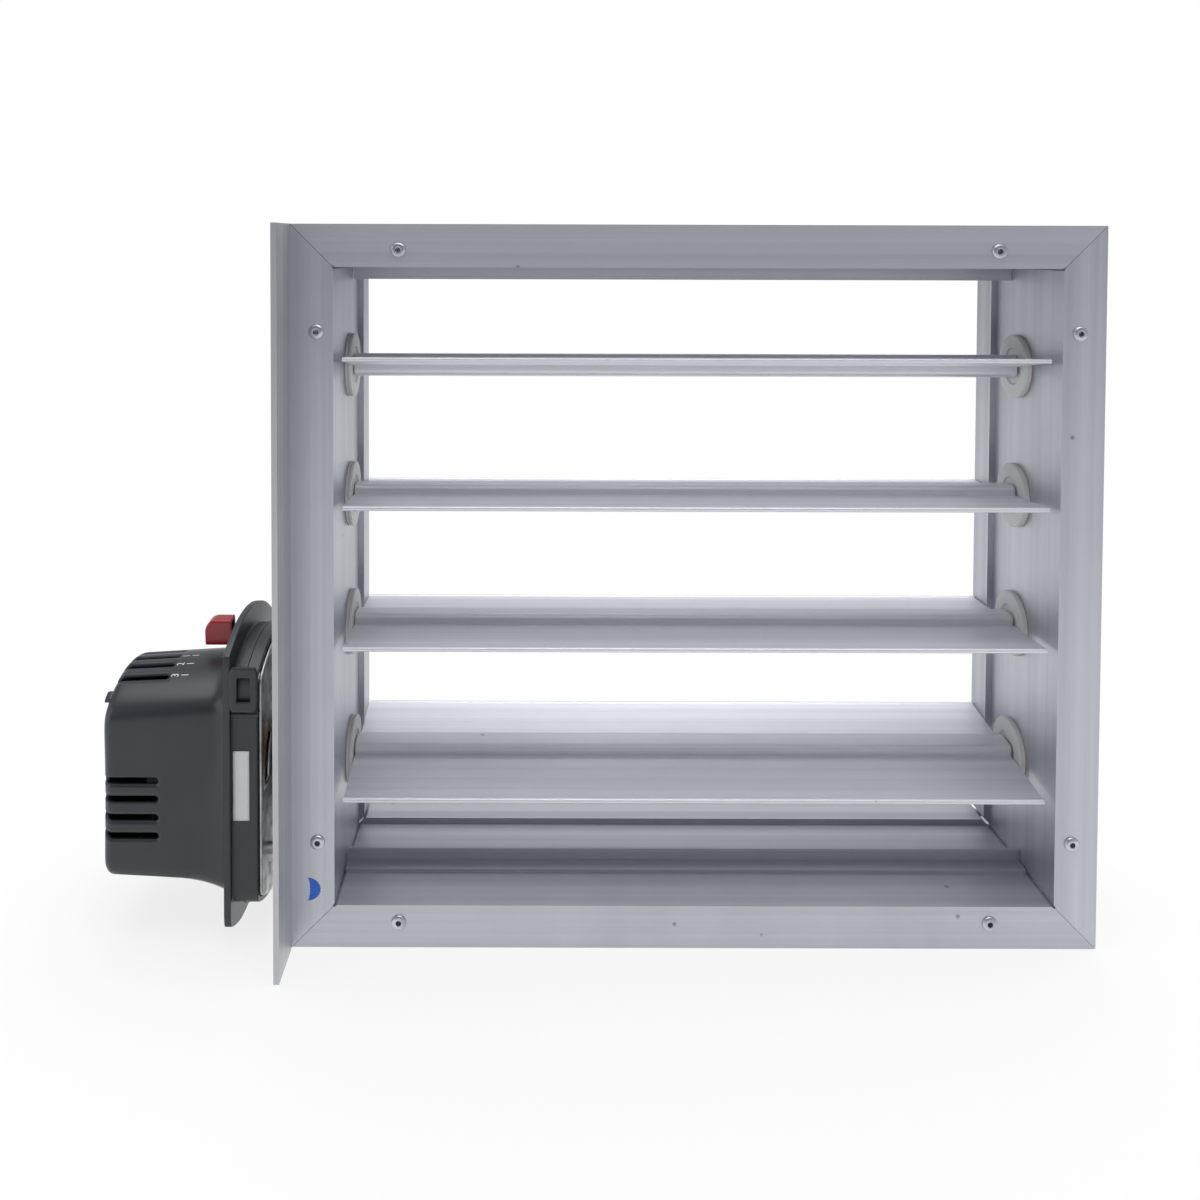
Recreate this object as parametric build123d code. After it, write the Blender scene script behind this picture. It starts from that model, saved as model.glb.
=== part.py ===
"""Volume control damper: a mitred aluminium frame, four linked blades and a rotary electric actuator.

X runs across the opening, Y with the airflow from the front flange to the rear one, and Z up.
Shapes are drawn about the frame: X = 0 is the middle of the opening, Y = 0 the front face and
Z = 0 the underside. Every piece is moved by ORIGIN when it is written, so that the part's
origin is the middle of its footprint.
"""
from build123d import *
import math
import os

# --- duct frame ---------------------------------------------------------------------------
FRAME_WIDTH = 378.0        # over the flanges
FRAME_HEIGHT = 340.0
FRAME_DEPTH = 90.0         # front flange face to rear flange face
FLANGE_WIDTH = 20.0        # outer edge of a flange to the opening
FRAME_WALL = 2.0
FRONT_LIP = 14.0           # how far the edge of the front flange is turned back
REAR_LIP = 10.0
STEP_START = 72.0          # depth where the duct wall steps inward
STEP_HEIGHT = 2.8
MITRE_GAP = 0.12           # rail end to the plane of the mitre
MITRE_NOTCH = 0.8          # each rail end is clipped by this much at the duct wall

# --- corner joints ------------------------------------------------------------------------
CLEAT_LEG = 64.0
CLEAT_THICKNESS = 3.0
CLEAT_GAP = 0.5            # cleat to the lip and to the duct wall
RIVET_INSET = 50.0         # rivet to the outer corner, along the flange
RIVET_LINE = 12.0          # rivet to the outer edge of the flange
RIVET_HEAD = 7.0
RIVET_HEAD_RISE = 1.3
RIVET_SHANK = 4.0
RIVET_BORE = 2.4
RIVET_BULB = 5.4
RIVET_BULB_LENGTH = 3.0
HOLE_CLEARANCE = 0.05

# --- blade stops --------------------------------------------------------------------------
STOP_HEIGHT = 7.2
STOP_FOOT = 10.0
STOP_WALL = 1.5
STOP_OFFSET = 9.0          # stop face to the plane of the blade axes
STOP_END_GAP = 0.5

# --- blades -------------------------------------------------------------------------------
BLADE_COUNT = 4
BLADE_PITCH = 65.5
LOWEST_AXIS = 73.25
AXIS_SETBACK = 1.0         # blade axes behind the middle of the frame's depth
BLADE_CHORD = 87.0
BLADE_PLATE = 1.6
BLADE_EDGE = 2.3           # thickness of the beaded edges
BLADE_EDGE_WIDTH = 2.4
BLADE_RIB = 0.35           # height of the fine ribs beside the boss
BLADE_RIB_SPACING = 7.0
BLADE_RIB_COUNT = 3
BOSS_WIDTH = 14.0
BOSS_HEIGHT = 11.0
BOSS_RADIUS = 3.0
BLADE_END_GAP = 0.5        # blade end to bearing disc
REST_TILT = (7.0, -2.0, -3.5, -9.5)   # rear edge up is positive, from the lowest blade up

# --- shafts and bearings ------------------------------------------------------------------
SHAFT_SQUARE = 7.0
SHAFT_DIAMETER = 9.0
SQUARE_CLEARANCE = 0.05
RUNNING_CLEARANCE = 0.05
BEARING_DISC = 32.0
BEARING_DISC_THICKNESS = 3.0
BEARING_NECK = 15.0
BEARING_BARB = 1.2
BEARING_BARB_LENGTH = 2.0
BEARING_GROOVE = 0.7
SHAFT_END_REACH = 7.0      # right shaft end past the duct wall

# --- linkage in the left channel ----------------------------------------------------------
CRANK_THROW = 24.0
CRANK_WIDTH = 15.0
CRANK_THICKNESS = 3.0
CRANK_STANDOFF = 2.6       # duct wall to crank, room for the bearing barb
LINK_WIDTH = 12.0
LINK_THICKNESS = 2.5
LINK_GAP = 0.4             # crank face to link face
PIN_DIAMETER = 5.0
PIN_HEAD = 8.0
PIN_HEAD_THICKNESS = 1.6
PIN_CLEARANCE = 0.05       # drive pin in its link hole
OPEN_PIVOT_CLEARANCE = 0.6  # the other three link holes run loose
CRANK_ANGLE = 200.0        # direction of the cranks at rest, from +Y towards +Z

# --- side plate ---------------------------------------------------------------------------
PLATE_THICKNESS = 2.6
PLATE_FRONT = 26.0         # how far the plate stands out in front of the frame
PLATE_REAR = 37.0
PLATE_HOLE_CLEARANCE = 1.5
PLATE_SCREW_ROWS = 4
PLATE_SCREW_MARGIN = 30.0
SCREW_HEAD = 7.0
SCREW_HEAD_RISE = 1.6
SCREW_SHANK = 3.5
SCREW_LENGTH = 8.0
SCREW_LIP_EDGE = 2.5       # screw to the free edge of the lip that it grips

# --- actuator -----------------------------------------------------------------------------
BACK_GAP = 12.5            # side plate to the actuator's back plate
BACK_PLATE = 1.6
BACK_PLATE_RADIUS = 61.0
BASE_RADIUS = 64.0
ACTUATOR_FORWARD = 10.0    # middle of the round housing in front of the shaft
BASE_DEPTH = 16.0
BASE_WALL = 2.5
SKIRT_RADIUS = 77.0
SKIRT_THICKNESS = 2.2
SKIRT_FRONT_CUT = 23.0     # middle of the housing to the flat front edge of the skirt
SKIRT_RIM = 1.8            # width of the raised rim round the skirt
SKIRT_RIM_RISE = 1.2
SKIRT_FLOOR_GAP = 0.8      # lowest edge of the skirt above the resting surface
COVER_RADIUS = 52.0
COVER_END_RADIUS = 48.5
COVER_LENGTH = 54.5
COVER_WALL = 2.4
COVER_EDGE = 9.0
COVER_DROP = 38.0          # middle of the housing down to the cover's square front corner
COVER_CORNER = 8.0
COVER_FLARE = 4.0          # rise of the flare at the skirt
COVER_FLARE_STEP = 4.0     # steep part of the flare, along the axis
COVER_FLARE_TAIL = 1.6     # rise left where the flare turns gentle
COVER_FLARE_LENGTH = 14.0
SIDE_VENT_COUNT = 4
TOP_VENT_COUNT = 5
VENT_PITCH = 8.6
VENT_WIDTH = 3.6
SIDE_VENT_REACH = 32.0     # how far the side slots run from the end of the cover
TOP_VENT_REACH = 26.0
VENT_CUT = 22.0            # how deep the slots cut in from the cover's outside
VENT_TOP_CUT = 8.0
LEVER_SLOT = 5.0
TRAVEL = 77.0              # turn of the blades from rest to closed, degrees
LEVER_TAB = 13.0
LEVER_HEIGHT = 13.0
LEVER_SETBACK = 5.3        # lever's arm to the cover's flare
LEVER_TAB_GAP = 1.3        # lever's tab to the skirt
LEVER_TAB_RISE = 4.5       # underside of the tab above the cover's outside
LEVER_HOLLOW = 1.6         # wall round the hollow in the tab's outer side
LEVER_CORNER = 3.0
LEVER_REST = 95.0          # direction of the lever at rest, from +Y towards +Z
LEVER_ARC = 9.0            # degrees that the lever's tab spans
LEVER_ARM_INNER = 12.0
LEVER_GAP = 0.4
HUB_DIAMETER = 19.0
HUB_FLANGE = 26.0
HUB_FLANGE_THICKNESS = 8.0
HUB_GAP = 1.0              # hub to the side plate
SPRING_WIRE = 2.0
SPRING_TURNS = 2
SPRING_PITCH = 2.6
SPRING_GAP = 0.3           # coil to the hub's flange
SPRING_LEG = 46.0
SPRING_SIDES = 6           # the wire's section in the solid has this many sides
STANDOFF_DIAMETER = 9.0
STANDOFF_CIRCLE = 47.0
STANDOFF_LIP_GAP = 1.0     # head of a post's screw to the lip beside it
STANDOFF_SCREW = 4.0
STANDOFF_SCREW_LENGTH = 10.0
STANDOFF_SCREW_HEAD = 8.0
STANDOFF_HEAD_RISE = 2.4
GEAR_MODULE = 1.0
GEAR_ADDENDUM = 0.75       # tooth tip above the pitch circle, in modules
GEAR_DEDENDUM = 1.1
GEAR_TOOTH_SHARE = 0.4     # tooth width at the pitch circle, as a share of the tooth pitch
OUTPUT_TEETH = 50
PINION_TEETH = 12
GEAR_FACE = 5.0
GEAR_GAP = 1.0             # gear face to the tray's floor
MOTOR_DIAMETER = 28.0
MOTOR_LENGTH = 24.0
MOTOR_SHAFT = 3.0
BOARD_RADIUS = 42.0
BOARD_THICKNESS = 1.6
BOARD_STANDOFF = 28.0      # tray floor to the board
PILLAR_DIAMETER = 6.0
PILLAR_CIRCLE = 37.0
PILLAR_PLACES = (135.0, 200.0, 335.0)
TERMINAL_LENGTH = 30.0
TERMINAL_WIDTH = 9.0
TERMINAL_HEIGHT = 11.0
TERMINAL_WAYS = 5
TERMINAL_SCREW = 3.6
EAR_HEIGHT = 21.0          # snap ear on the tray's flat front wall
EAR_WIDTH = 13.0
EAR_THICKNESS = 1.3
EAR_RISE = 43.0            # middle of the ear above the shaft axis
EAR_WINDOW_HEIGHT = 12.0
EAR_WINDOW_WIDTH = 6.6
EAR_WINDOW_RISE = 2.0      # middle of the window above the ear's middle
CATCH_THICKNESS = 0.7
LABEL_WIDTH = 8.0
LABEL_HEIGHT = 34.0
LABEL_THICKNESS = 0.4
LABEL_MARGIN = 0.7         # label to the skirt
LABEL_DROP = 4.5           # middle of the label below the shaft axis
PLATE_SLOT_STARTS = (20.0, 140.0, 260.0)   # slots round the hub in the back plate
PLATE_SLOT_SPAN = 44.0
PLATE_SLOT_INNER = 27.0
PLATE_SLOT_OUTER = 36.0
CLIP_DIAMETER = 16.0
CLIP_THICKNESS = 1.0
CLIP_GAP = 0.4

# --- places that follow from the sizes ----------------------------------------------------
HALF_WIDTH = FRAME_WIDTH / 2
WALL_IN = HALF_WIDTH - FLANGE_WIDTH          # inner face of a jamb wall
WALL_OUT = WALL_IN + FRAME_WALL
AXIS_DEPTH = FRAME_DEPTH / 2 + AXIS_SETBACK
HOUSING_DEPTH = AXIS_DEPTH - ACTUATOR_FORWARD   # middle of the actuator's round housing
PLATE_OUT = -HALF_WIDTH - PLATE_THICKNESS    # outer face of the side plate
BLADE_HALF = WALL_IN - BEARING_DISC_THICKNESS - BLADE_END_GAP
AXES = [LOWEST_AXIS + BLADE_PITCH * i for i in range(BLADE_COUNT)]
BACK_X = PLATE_OUT - BACK_GAP                # face of the back plate towards the side plate
BASE_X = BACK_X - BACK_PLATE
SKIRT_X = BASE_X - BASE_DEPTH
COVER_X = SKIRT_X - SKIRT_THICKNESS
END_X = COVER_X - COVER_LENGTH
CRANK_X = -WALL_OUT - CRANK_STANDOFF         # inner face of the cranks
LINK_X = CRANK_X - CRANK_THICKNESS - LINK_GAP
GEAR_X = SKIRT_X + BASE_WALL + GEAR_GAP      # outer face of the two gears
MOTOR_OFFSET = GEAR_MODULE * (OUTPUT_TEETH + PINION_TEETH) / 2
LEVER_X = COVER_X - COVER_FLARE - LEVER_SETBACK   # right face of the lever's arm
ORIGIN = (-(HALF_WIDTH + END_X) / 2, -(FRAME_DEPTH + PLATE_REAR - PLATE_FRONT) / 2, 0)
PARTS = "parts"


def bar(x_from, x_to, radius, axis_z, axis_y=AXIS_DEPTH):
    """A round bar along X between two places."""
    middle = Pos((x_from + x_to) / 2, axis_y, axis_z)
    return middle * Rot(0, 90, 0) * Cylinder(radius, abs(x_to - x_from))


def block(x_from, x_to, y_from, y_to, z_from, z_to):
    """A box between two corners."""
    size = Box(abs(x_to - x_from), abs(y_to - y_from), abs(z_to - z_from))
    return Pos((x_from + x_to) / 2, (y_from + y_to) / 2, (z_from + z_to) / 2) * size


def turned(shape, degrees, axis_z, axis_y=AXIS_DEPTH):
    """The shape turned about a line along X."""
    return Pos(0, axis_y, axis_z) * Rot(degrees, 0, 0) * Pos(0, -axis_y, -axis_z) * shape


def along_x(sketch, x_from, x_to):
    """A sketch drawn in (Y, Z) drawn out between two places on X."""
    plane = Plane(origin=(x_from, 0, 0), x_dir=(0, 1, 0), z_dir=(1, 0, 0))
    return extrude(plane * sketch, amount=x_to - x_from)


def write(name, *solids):
    """Writes one node: one solid, or a group of separate ones."""
    moved = [Pos(*ORIGIN) * solid for solid in solids]
    shape = moved[0] if len(moved) == 1 else Compound(children=moved)
    export_step(shape, f"{PARTS}/{name}.step")


# --- frame --------------------------------------------------------------------------------
def frame_section():
    """The rail's section: (depth, distance in from the outer edge)."""
    inner = FLANGE_WIDTH
    wall = FRAME_WALL
    raised = inner + STEP_HEIGHT
    depth = FRAME_DEPTH
    outline = Polyline(
        (0, 0), (0, inner), (STEP_START, inner), (STEP_START, raised), (depth, raised),
        (depth, 0), (depth - REAR_LIP, 0), (depth - REAR_LIP, wall), (depth - wall, wall),
        (depth - wall, raised - wall), (STEP_START + wall, raised - wall),
        (STEP_START + wall, inner - wall), (wall, inner - wall), (wall, wall),
        (FRONT_LIP, wall), (FRONT_LIP, 0), close=True,
    )
    return make_face(outline)


def rail(length):
    """A mitred rail along X with its outer edge at Z = 0 and the duct above it."""
    deep = FLANGE_WIDTH + STEP_HEIGHT
    half = length / 2
    blank = along_x(frame_section(), -half, half)
    end = half - MITRE_GAP
    tip = FLANGE_WIDTH - MITRE_NOTCH
    mitre = Polyline(
        (-end, 0), (end, 0), (end - tip, tip), (end - tip - MITRE_NOTCH, tip), (end - deep - MITRE_NOTCH, deep),
        (-end + deep + MITRE_NOTCH, deep), (-end + tip + MITRE_NOTCH, tip), (-end + tip, tip), close=True,
    )
    wedge = extrude(Plane.XZ * make_face(mitre), amount=-FRAME_DEPTH)
    return blank & wedge


def rivet_places():
    """(X, Z) of the eight rivets of one flange."""
    x_far = HALF_WIDTH - RIVET_INSET
    x_side = HALF_WIDTH - RIVET_LINE
    places = [(x, z) for x in (-x_far, x_far) for z in (RIVET_LINE, FRAME_HEIGHT - RIVET_LINE)]
    places += [(x, z) for x in (-x_side, x_side) for z in (RIVET_INSET, FRAME_HEIGHT - RIVET_INSET)]
    return places


def rivet_holes():
    """One long drill for each rivet place, through both flanges."""
    drill = Rot(90, 0, 0) * Cylinder(RIVET_SHANK / 2 + HOLE_CLEARANCE, 3 * FRAME_DEPTH)
    return Compound(children=[Pos(x, 0, z) * drill for x, z in rivet_places()])


def bearing_holes(side):
    """Holes for the bearing necks in one jamb."""
    radius = BEARING_NECK / 2 + HOLE_CLEARANCE
    ends = sorted((side * (WALL_IN - 1), side * (WALL_OUT + 1)))
    return Compound(children=[bar(ends[0], ends[1], radius, z) for z in AXES])


def frame_rails():
    """The four mitred rails, by name."""
    middle = FRAME_HEIGHT / 2
    lying = rail(FRAME_WIDTH)
    standing = rail(FRAME_HEIGHT)
    rails = {
        "frame_bottom": lying,
        "frame_top": Pos(0, 0, FRAME_HEIGHT) * Rot(0, 180, 0) * lying,
        "frame_left": Pos(-HALF_WIDTH, 0, middle) * Rot(0, 90, 0) * standing,
        "frame_right": Pos(HALF_WIDTH, 0, middle) * Rot(0, -90, 0) * standing,
    }
    rails["frame_left"] -= bearing_holes(-1)
    rails["frame_left"] -= screw_holes()
    rails["frame_right"] -= bearing_holes(1)
    holes = rivet_holes()
    return {name: solid - holes for name, solid in rails.items()}


def cleats(front):
    """Four flat corner angles, behind the front flange or before the rear one."""
    near = FRAME_WALL + CLEAT_GAP
    far = FLANGE_WIDTH - FRAME_WALL - CLEAT_GAP
    leg = Polyline(
        (near, near), (CLEAT_LEG, near), (CLEAT_LEG, far), (far, far), (far, CLEAT_LEG),
        (near, CLEAT_LEG), close=True,
    )
    start = FRAME_WALL if front else FRAME_DEPTH - FRAME_WALL - CLEAT_THICKNESS
    lower_left = Pos(-HALF_WIDTH, start, 0) * extrude(Plane.XZ * make_face(leg), amount=-CLEAT_THICKNESS)
    lower_right = mirror(lower_left, about=Plane.YZ)
    half_height = Plane.XY.offset(FRAME_HEIGHT / 2)
    four = [lower_left, lower_right, mirror(lower_left, about=half_height), mirror(lower_right, about=half_height)]
    holes = rivet_holes()
    return [cleat - holes for cleat in four]


def blind_rivet():
    """A set blind rivet along +Y, with the underside of its head at Y = 0."""
    grip = FRAME_WALL + CLEAT_THICKNESS
    radius = RIVET_HEAD / 2
    rise = RIVET_HEAD_RISE
    profile = Polyline(
        (0, 0), (radius, 0), (radius, rise * 0.3), (radius * 0.72, rise * 0.85), (radius * 0.4, rise), (0, rise), close=True,
    )
    dome = revolve(Plane.XZ * make_face(profile), Axis.Z)
    shank = Pos(0, 0, -grip / 2) * Cylinder(RIVET_SHANK / 2, grip)
    bulb = Pos(0, 0, -grip - RIVET_BULB_LENGTH / 2) * Cylinder(RIVET_BULB / 2, RIVET_BULB_LENGTH)
    bore = Pos(0, 0, RIVET_HEAD_RISE) * Cylinder(RIVET_BORE / 2, 2 * grip)
    return Rot(90, 0, 0) * (dome + shank + bulb - bore)


def rivets(front):
    """Eight rivets with their heads on the outer face of one flange."""
    rivet = blind_rivet()
    turn = Rot(0, 0, 0) if front else Rot(0, 0, 180)
    face = 0 if front else FRAME_DEPTH
    return [Pos(x, face, z) * turn * rivet for x, z in rivet_places()]


def blade_stop(top):
    """An angle strip on the duct wall, from jamb to jamb, that a closed blade meets."""
    half = WALL_IN - STOP_END_GAP
    floor = FLANGE_WIDTH
    face = AXIS_DEPTH - STOP_OFFSET
    foot = block(-half, half, face - STOP_FOOT, face, floor, floor + STOP_WALL)
    leg = block(-half, half, face - STOP_WALL, face, floor, floor + STOP_HEIGHT)
    strip = foot + leg
    if not top:
        return strip
    return turned(strip, 180, FRAME_HEIGHT / 2)


# --- bearings -----------------------------------------------------------------------------
def bearing(side, axis_z):
    """A flanged bush pushed through the jamb wall from the duct side and held by a barb."""
    face = WALL_IN - BEARING_DISC_THICKNESS
    barb = WALL_OUT + BEARING_BARB_LENGTH
    radius = BEARING_DISC / 2
    disc = bar(face, WALL_IN, radius, axis_z)
    if side < 0:
        start = face + (BEARING_DISC_THICKNESS - BEARING_GROOVE) / 2
        ring = bar(start, start + BEARING_GROOVE, radius + 1, axis_z)
        disc -= ring - bar(start, start + BEARING_GROOVE, radius - BEARING_GROOVE, axis_z)
    neck = bar(WALL_IN, barb, BEARING_NECK / 2, axis_z)
    lip = bar(WALL_OUT, barb, BEARING_NECK / 2 + BEARING_BARB, axis_z)
    bush = disc + neck + lip
    bush -= bar(face - 1, barb + 1, SHAFT_DIAMETER / 2 + RUNNING_CLEARANCE, axis_z)
    return bush if side > 0 else mirror(bush, about=Plane.YZ)


# --- blades and shafts --------------------------------------------------------------------
def blade_section():
    """The blade's section about its axis: a thin plate, beaded edges, fine ribs and a hollow boss."""
    half = BLADE_CHORD / 2
    section = Rectangle(BLADE_CHORD, BLADE_PLATE)
    section += RectangleRounded(BOSS_WIDTH, BOSS_HEIGHT, BOSS_RADIUS)
    for side in (-1, 1):
        section += Pos(side * (half - BLADE_EDGE_WIDTH / 2), 0) * RectangleRounded(
            BLADE_EDGE_WIDTH, BLADE_EDGE, BLADE_EDGE / 2 - 0.05
        )
        for i in range(BLADE_RIB_COUNT):
            reach = side * (BOSS_WIDTH / 2 + BLADE_RIB_SPACING * (i + 1))
            section += Pos(reach, 0) * Rectangle(BLADE_RIB * 3, BLADE_PLATE + 2 * BLADE_RIB)
    hole = SHAFT_SQUARE + 2 * SQUARE_CLEARANCE
    return section - Rectangle(hole, hole)


def blade(i):
    """One blade, tilted as it stands at rest."""
    flat = Pos(0, AXIS_DEPTH, AXES[i]) * along_x(blade_section(), -BLADE_HALF, BLADE_HALF)
    return turned(flat, REST_TILT[i], AXES[i])


def square_bar(x_from, x_to, axis_z, tilt):
    """A square bar along X that stands square to the blade."""
    half = SHAFT_SQUARE / 2
    straight = block(x_from, x_to, AXIS_DEPTH - half, AXIS_DEPTH + half, axis_z - half, axis_z + half)
    return turned(straight, tilt, axis_z)


def shaft(i):
    """A square bar through the boss with round journals; the lowest one runs on into the actuator."""
    z = AXES[i]
    left = CRANK_X - CRANK_THICKNESS
    if i == 0:
        left = LEVER_X - LEVER_SLOT
    right = WALL_OUT + SHAFT_END_REACH
    journal = SHAFT_DIAMETER / 2
    solid = square_bar(-BLADE_HALF, BLADE_HALF, z, REST_TILT[i])
    solid += bar(left, -BLADE_HALF, journal, z)
    solid += bar(BLADE_HALF, right, journal, z)
    return solid


# --- linkage ------------------------------------------------------------------------------
def pin_place(i):
    """(Y, Z) of a crank's pin at rest."""
    angle = math.radians(CRANK_ANGLE)
    return AXIS_DEPTH + CRANK_THROW * math.cos(angle), AXES[i] + CRANK_THROW * math.sin(angle)


def crank(i):
    """A flat arm clamped on the shaft, with an eye for the link pin."""
    end = CRANK_X - CRANK_THICKNESS
    y, z = pin_place(i)
    lever = SlotCenterToCenter(CRANK_THROW, CRANK_WIDTH)
    lever = Pos(CRANK_THROW / 2, 0) * lever
    arm = Pos(0, AXIS_DEPTH, AXES[i]) * along_x(Rot(0, 0, CRANK_ANGLE) * lever, end, CRANK_X)
    arm -= bar(end - 1, CRANK_X + 1, SHAFT_DIAMETER / 2 + SQUARE_CLEARANCE, AXES[i])
    arm -= bar(end - 1, CRANK_X + 1, PIN_DIAMETER / 2 + SQUARE_CLEARANCE, z, y)
    return arm


def link_pin(i):
    """A shouldered pin: riveted in the crank, with a head outside the link bar."""
    y, z = pin_place(i)
    head_x = LINK_X - LINK_THICKNESS - LINK_GAP
    pin = bar(head_x, CRANK_X, PIN_DIAMETER / 2, z, y)
    return pin + bar(head_x - PIN_HEAD_THICKNESS, head_x, PIN_HEAD / 2, z, y)


def link_bar():
    """The bar that couples the four cranks."""
    y, low = pin_place(0)
    high = pin_place(BLADE_COUNT - 1)[1]
    end = LINK_X - LINK_THICKNESS
    strip = Pos(y, (low + high) / 2) * Rot(0, 0, 90) * SlotCenterToCenter(high - low, LINK_WIDTH)
    strip = along_x(strip, end, LINK_X)
    for i in range(BLADE_COUNT):
        clearance = PIN_CLEARANCE if i == 0 else OPEN_PIVOT_CLEARANCE
        strip -= bar(end - 1, LINK_X + 1, PIN_DIAMETER / 2 + clearance, pin_place(i)[1], y)
    return strip


# --- side plate ---------------------------------------------------------------------------
def plate_screw_places():
    """(Y, Z) of the screws that hold the side plate to the two lips of the left rail."""
    rows = PLATE_SCREW_ROWS
    run = FRAME_HEIGHT - 2 * PLATE_SCREW_MARGIN
    heights = [PLATE_SCREW_MARGIN + run * i / (rows - 1) for i in range(rows)]
    columns = (FRONT_LIP - SCREW_LIP_EDGE, FRAME_DEPTH - REAR_LIP + SCREW_LIP_EDGE)
    return [(y, z) for y in columns for z in heights]


def screw_holes():
    """One drill for each side plate screw."""
    radius = SCREW_SHANK / 2 + HOLE_CLEARANCE
    ends = (PLATE_OUT - 1, -HALF_WIDTH + FRAME_WALL + 1)
    return Compound(children=[bar(ends[0], ends[1], radius, z, y) for y, z in plate_screw_places()])


def side_plate():
    """The flat plate that closes the left channel and carries the actuator."""
    plate = block(PLATE_OUT, -HALF_WIDTH, -PLATE_FRONT, FRAME_DEPTH + PLATE_REAR, 0, FRAME_HEIGHT)
    plate -= bar(PLATE_OUT - 1, -HALF_WIDTH + 1, SHAFT_DIAMETER / 2 + PLATE_HOLE_CLEARANCE, AXES[0])
    for y, z in standoff_places():
        plate -= bar(PLATE_OUT - 1, -HALF_WIDTH + 1, STANDOFF_SCREW / 2 + HOLE_CLEARANCE, z, y)
    return plate - screw_holes()


def plate_screws():
    """Pan-head screws, one for each hole."""
    screws = []
    for y, z in plate_screw_places():
        shank = bar(PLATE_OUT, PLATE_OUT + SCREW_LENGTH, SCREW_SHANK / 2, z, y)
        head = bar(PLATE_OUT - SCREW_HEAD_RISE, PLATE_OUT, SCREW_HEAD / 2, z, y)
        head -= block(PLATE_OUT - 2 * SCREW_HEAD_RISE, PLATE_OUT - SCREW_HEAD_RISE / 2,
                      y - SCREW_HEAD, y + SCREW_HEAD, z - 0.5, z + 0.5)
        screws.append(shank + head)
    return screws


# --- actuator -----------------------------------------------------------------------------
def skirt(x_from, x_to, inset=0.0):
    """The round skirt behind the cover, cut flat at the front and level at the bottom."""
    z = AXES[0]
    radius = SKIRT_RADIUS - inset
    disc = bar(x_from, x_to, radius, z, HOUSING_DEPTH)
    keep = block(x_from, x_to, HOUSING_DEPTH - SKIRT_FRONT_CUT + inset, HOUSING_DEPTH + radius,
                 SKIRT_FLOOR_GAP + inset, z + radius)
    return disc & keep


def base_outline(radius, x_from, x_to):
    """A round tray cut flat in front, inside the flat edge of the skirt."""
    z = AXES[0]
    inset = BASE_RADIUS - radius
    front = HOUSING_DEPTH - SKIRT_FRONT_CUT + BASE_WALL + inset
    disc = bar(x_from, x_to, radius, z, HOUSING_DEPTH)
    return disc & block(x_from, x_to, front, HOUSING_DEPTH + radius, z - radius, z + radius)


def snap_ear():
    """The windowed ear that grips the back plate's edge, with its catch inside the window."""
    front = HOUSING_DEPTH - SKIRT_FRONT_CUT + BASE_WALL
    z = AXES[0] + EAR_RISE
    right = BACK_X
    left = right - EAR_WIDTH
    ear = block(left, right, front - EAR_THICKNESS, front, z - EAR_HEIGHT / 2, z + EAR_HEIGHT / 2)
    middle = (left + BASE_X) / 2
    window_z = z + EAR_WINDOW_RISE
    half = EAR_WINDOW_HEIGHT / 2
    ear -= block(middle - EAR_WINDOW_WIDTH / 2, middle + EAR_WINDOW_WIDTH / 2, front - 2 * EAR_THICKNESS,
                 front - EAR_THICKNESS + CATCH_THICKNESS, window_z - half, window_z + half)
    return ear


def actuator_base():
    """The tray: a wall round the gear train, a floor with the rimmed skirt, and the snap ear."""
    z = AXES[0]
    tray = base_outline(BASE_RADIUS, SKIRT_X, BASE_X)
    tray -= base_outline(BASE_RADIUS - BASE_WALL, SKIRT_X + BASE_WALL, BASE_X + 1)
    tray += skirt(COVER_X, SKIRT_X)
    rim = skirt(SKIRT_X, SKIRT_X + SKIRT_RIM_RISE)
    tray += rim - skirt(SKIRT_X - 1, SKIRT_X + SKIRT_RIM_RISE + 1, SKIRT_RIM)
    tray += snap_ear()
    floor_in = SKIRT_X + BASE_WALL + 1
    tray -= bar(COVER_X - 1, floor_in, SHAFT_DIAMETER / 2 + LEVER_GAP, z)
    tray -= bar(COVER_X - 1, floor_in, MOTOR_SHAFT / 2 + LEVER_GAP, z - MOTOR_OFFSET)
    for y, pillar_z in pillar_places():
        tray += bar(COVER_X - BOARD_STANDOFF, COVER_X, PILLAR_DIAMETER / 2, pillar_z, y)
    return tray


def cover_section(radius, drop):
    """(Y, Z) outline of the cover about its middle: round, with a square corner low in front."""
    corner = Pos(-radius / 2, drop / 2) * Rectangle(radius, drop)
    section = Circle(radius) + corner
    tip = section.vertices().sort_by(lambda v: v.X - v.Y)[0]
    return fillet(tip, COVER_CORNER)


def cover_step(section, start, length, shrink):
    """A stretch of the cover along -X from its open end, that gets smaller by shrink."""
    plane = Plane(origin=(COVER_X - start, HOUSING_DEPTH, AXES[0]), x_dir=(0, 1, 0), z_dir=(-1, 0, 0))
    return extrude(plane * section, amount=length, taper=math.degrees(math.atan(shrink / length)))


def cover_form(wall):
    """The cover's tapered form, rounded at its end, less a wall all round."""
    section = cover_section(COVER_RADIUS - wall, COVER_DROP - wall)
    form = cover_step(section, 0, COVER_LENGTH - wall, COVER_RADIUS - COVER_END_RADIUS)
    far_face = form.faces().sort_by(Axis.X)[0]
    return fillet(far_face.edges(), COVER_EDGE - wall / 2)


def cover_flare():
    """The collar that runs from the cover out to the skirt, steep and then gentle."""
    root = cover_section(COVER_RADIUS, COVER_DROP)
    steep = cover_step(offset(root, COVER_FLARE), 0, COVER_FLARE_STEP, COVER_FLARE - COVER_FLARE_TAIL)
    length = COVER_FLARE_LENGTH - COVER_FLARE_STEP
    return steep + cover_step(offset(root, COVER_FLARE_TAIL), COVER_FLARE_STEP, length, 2 * COVER_FLARE_TAIL)


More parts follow.
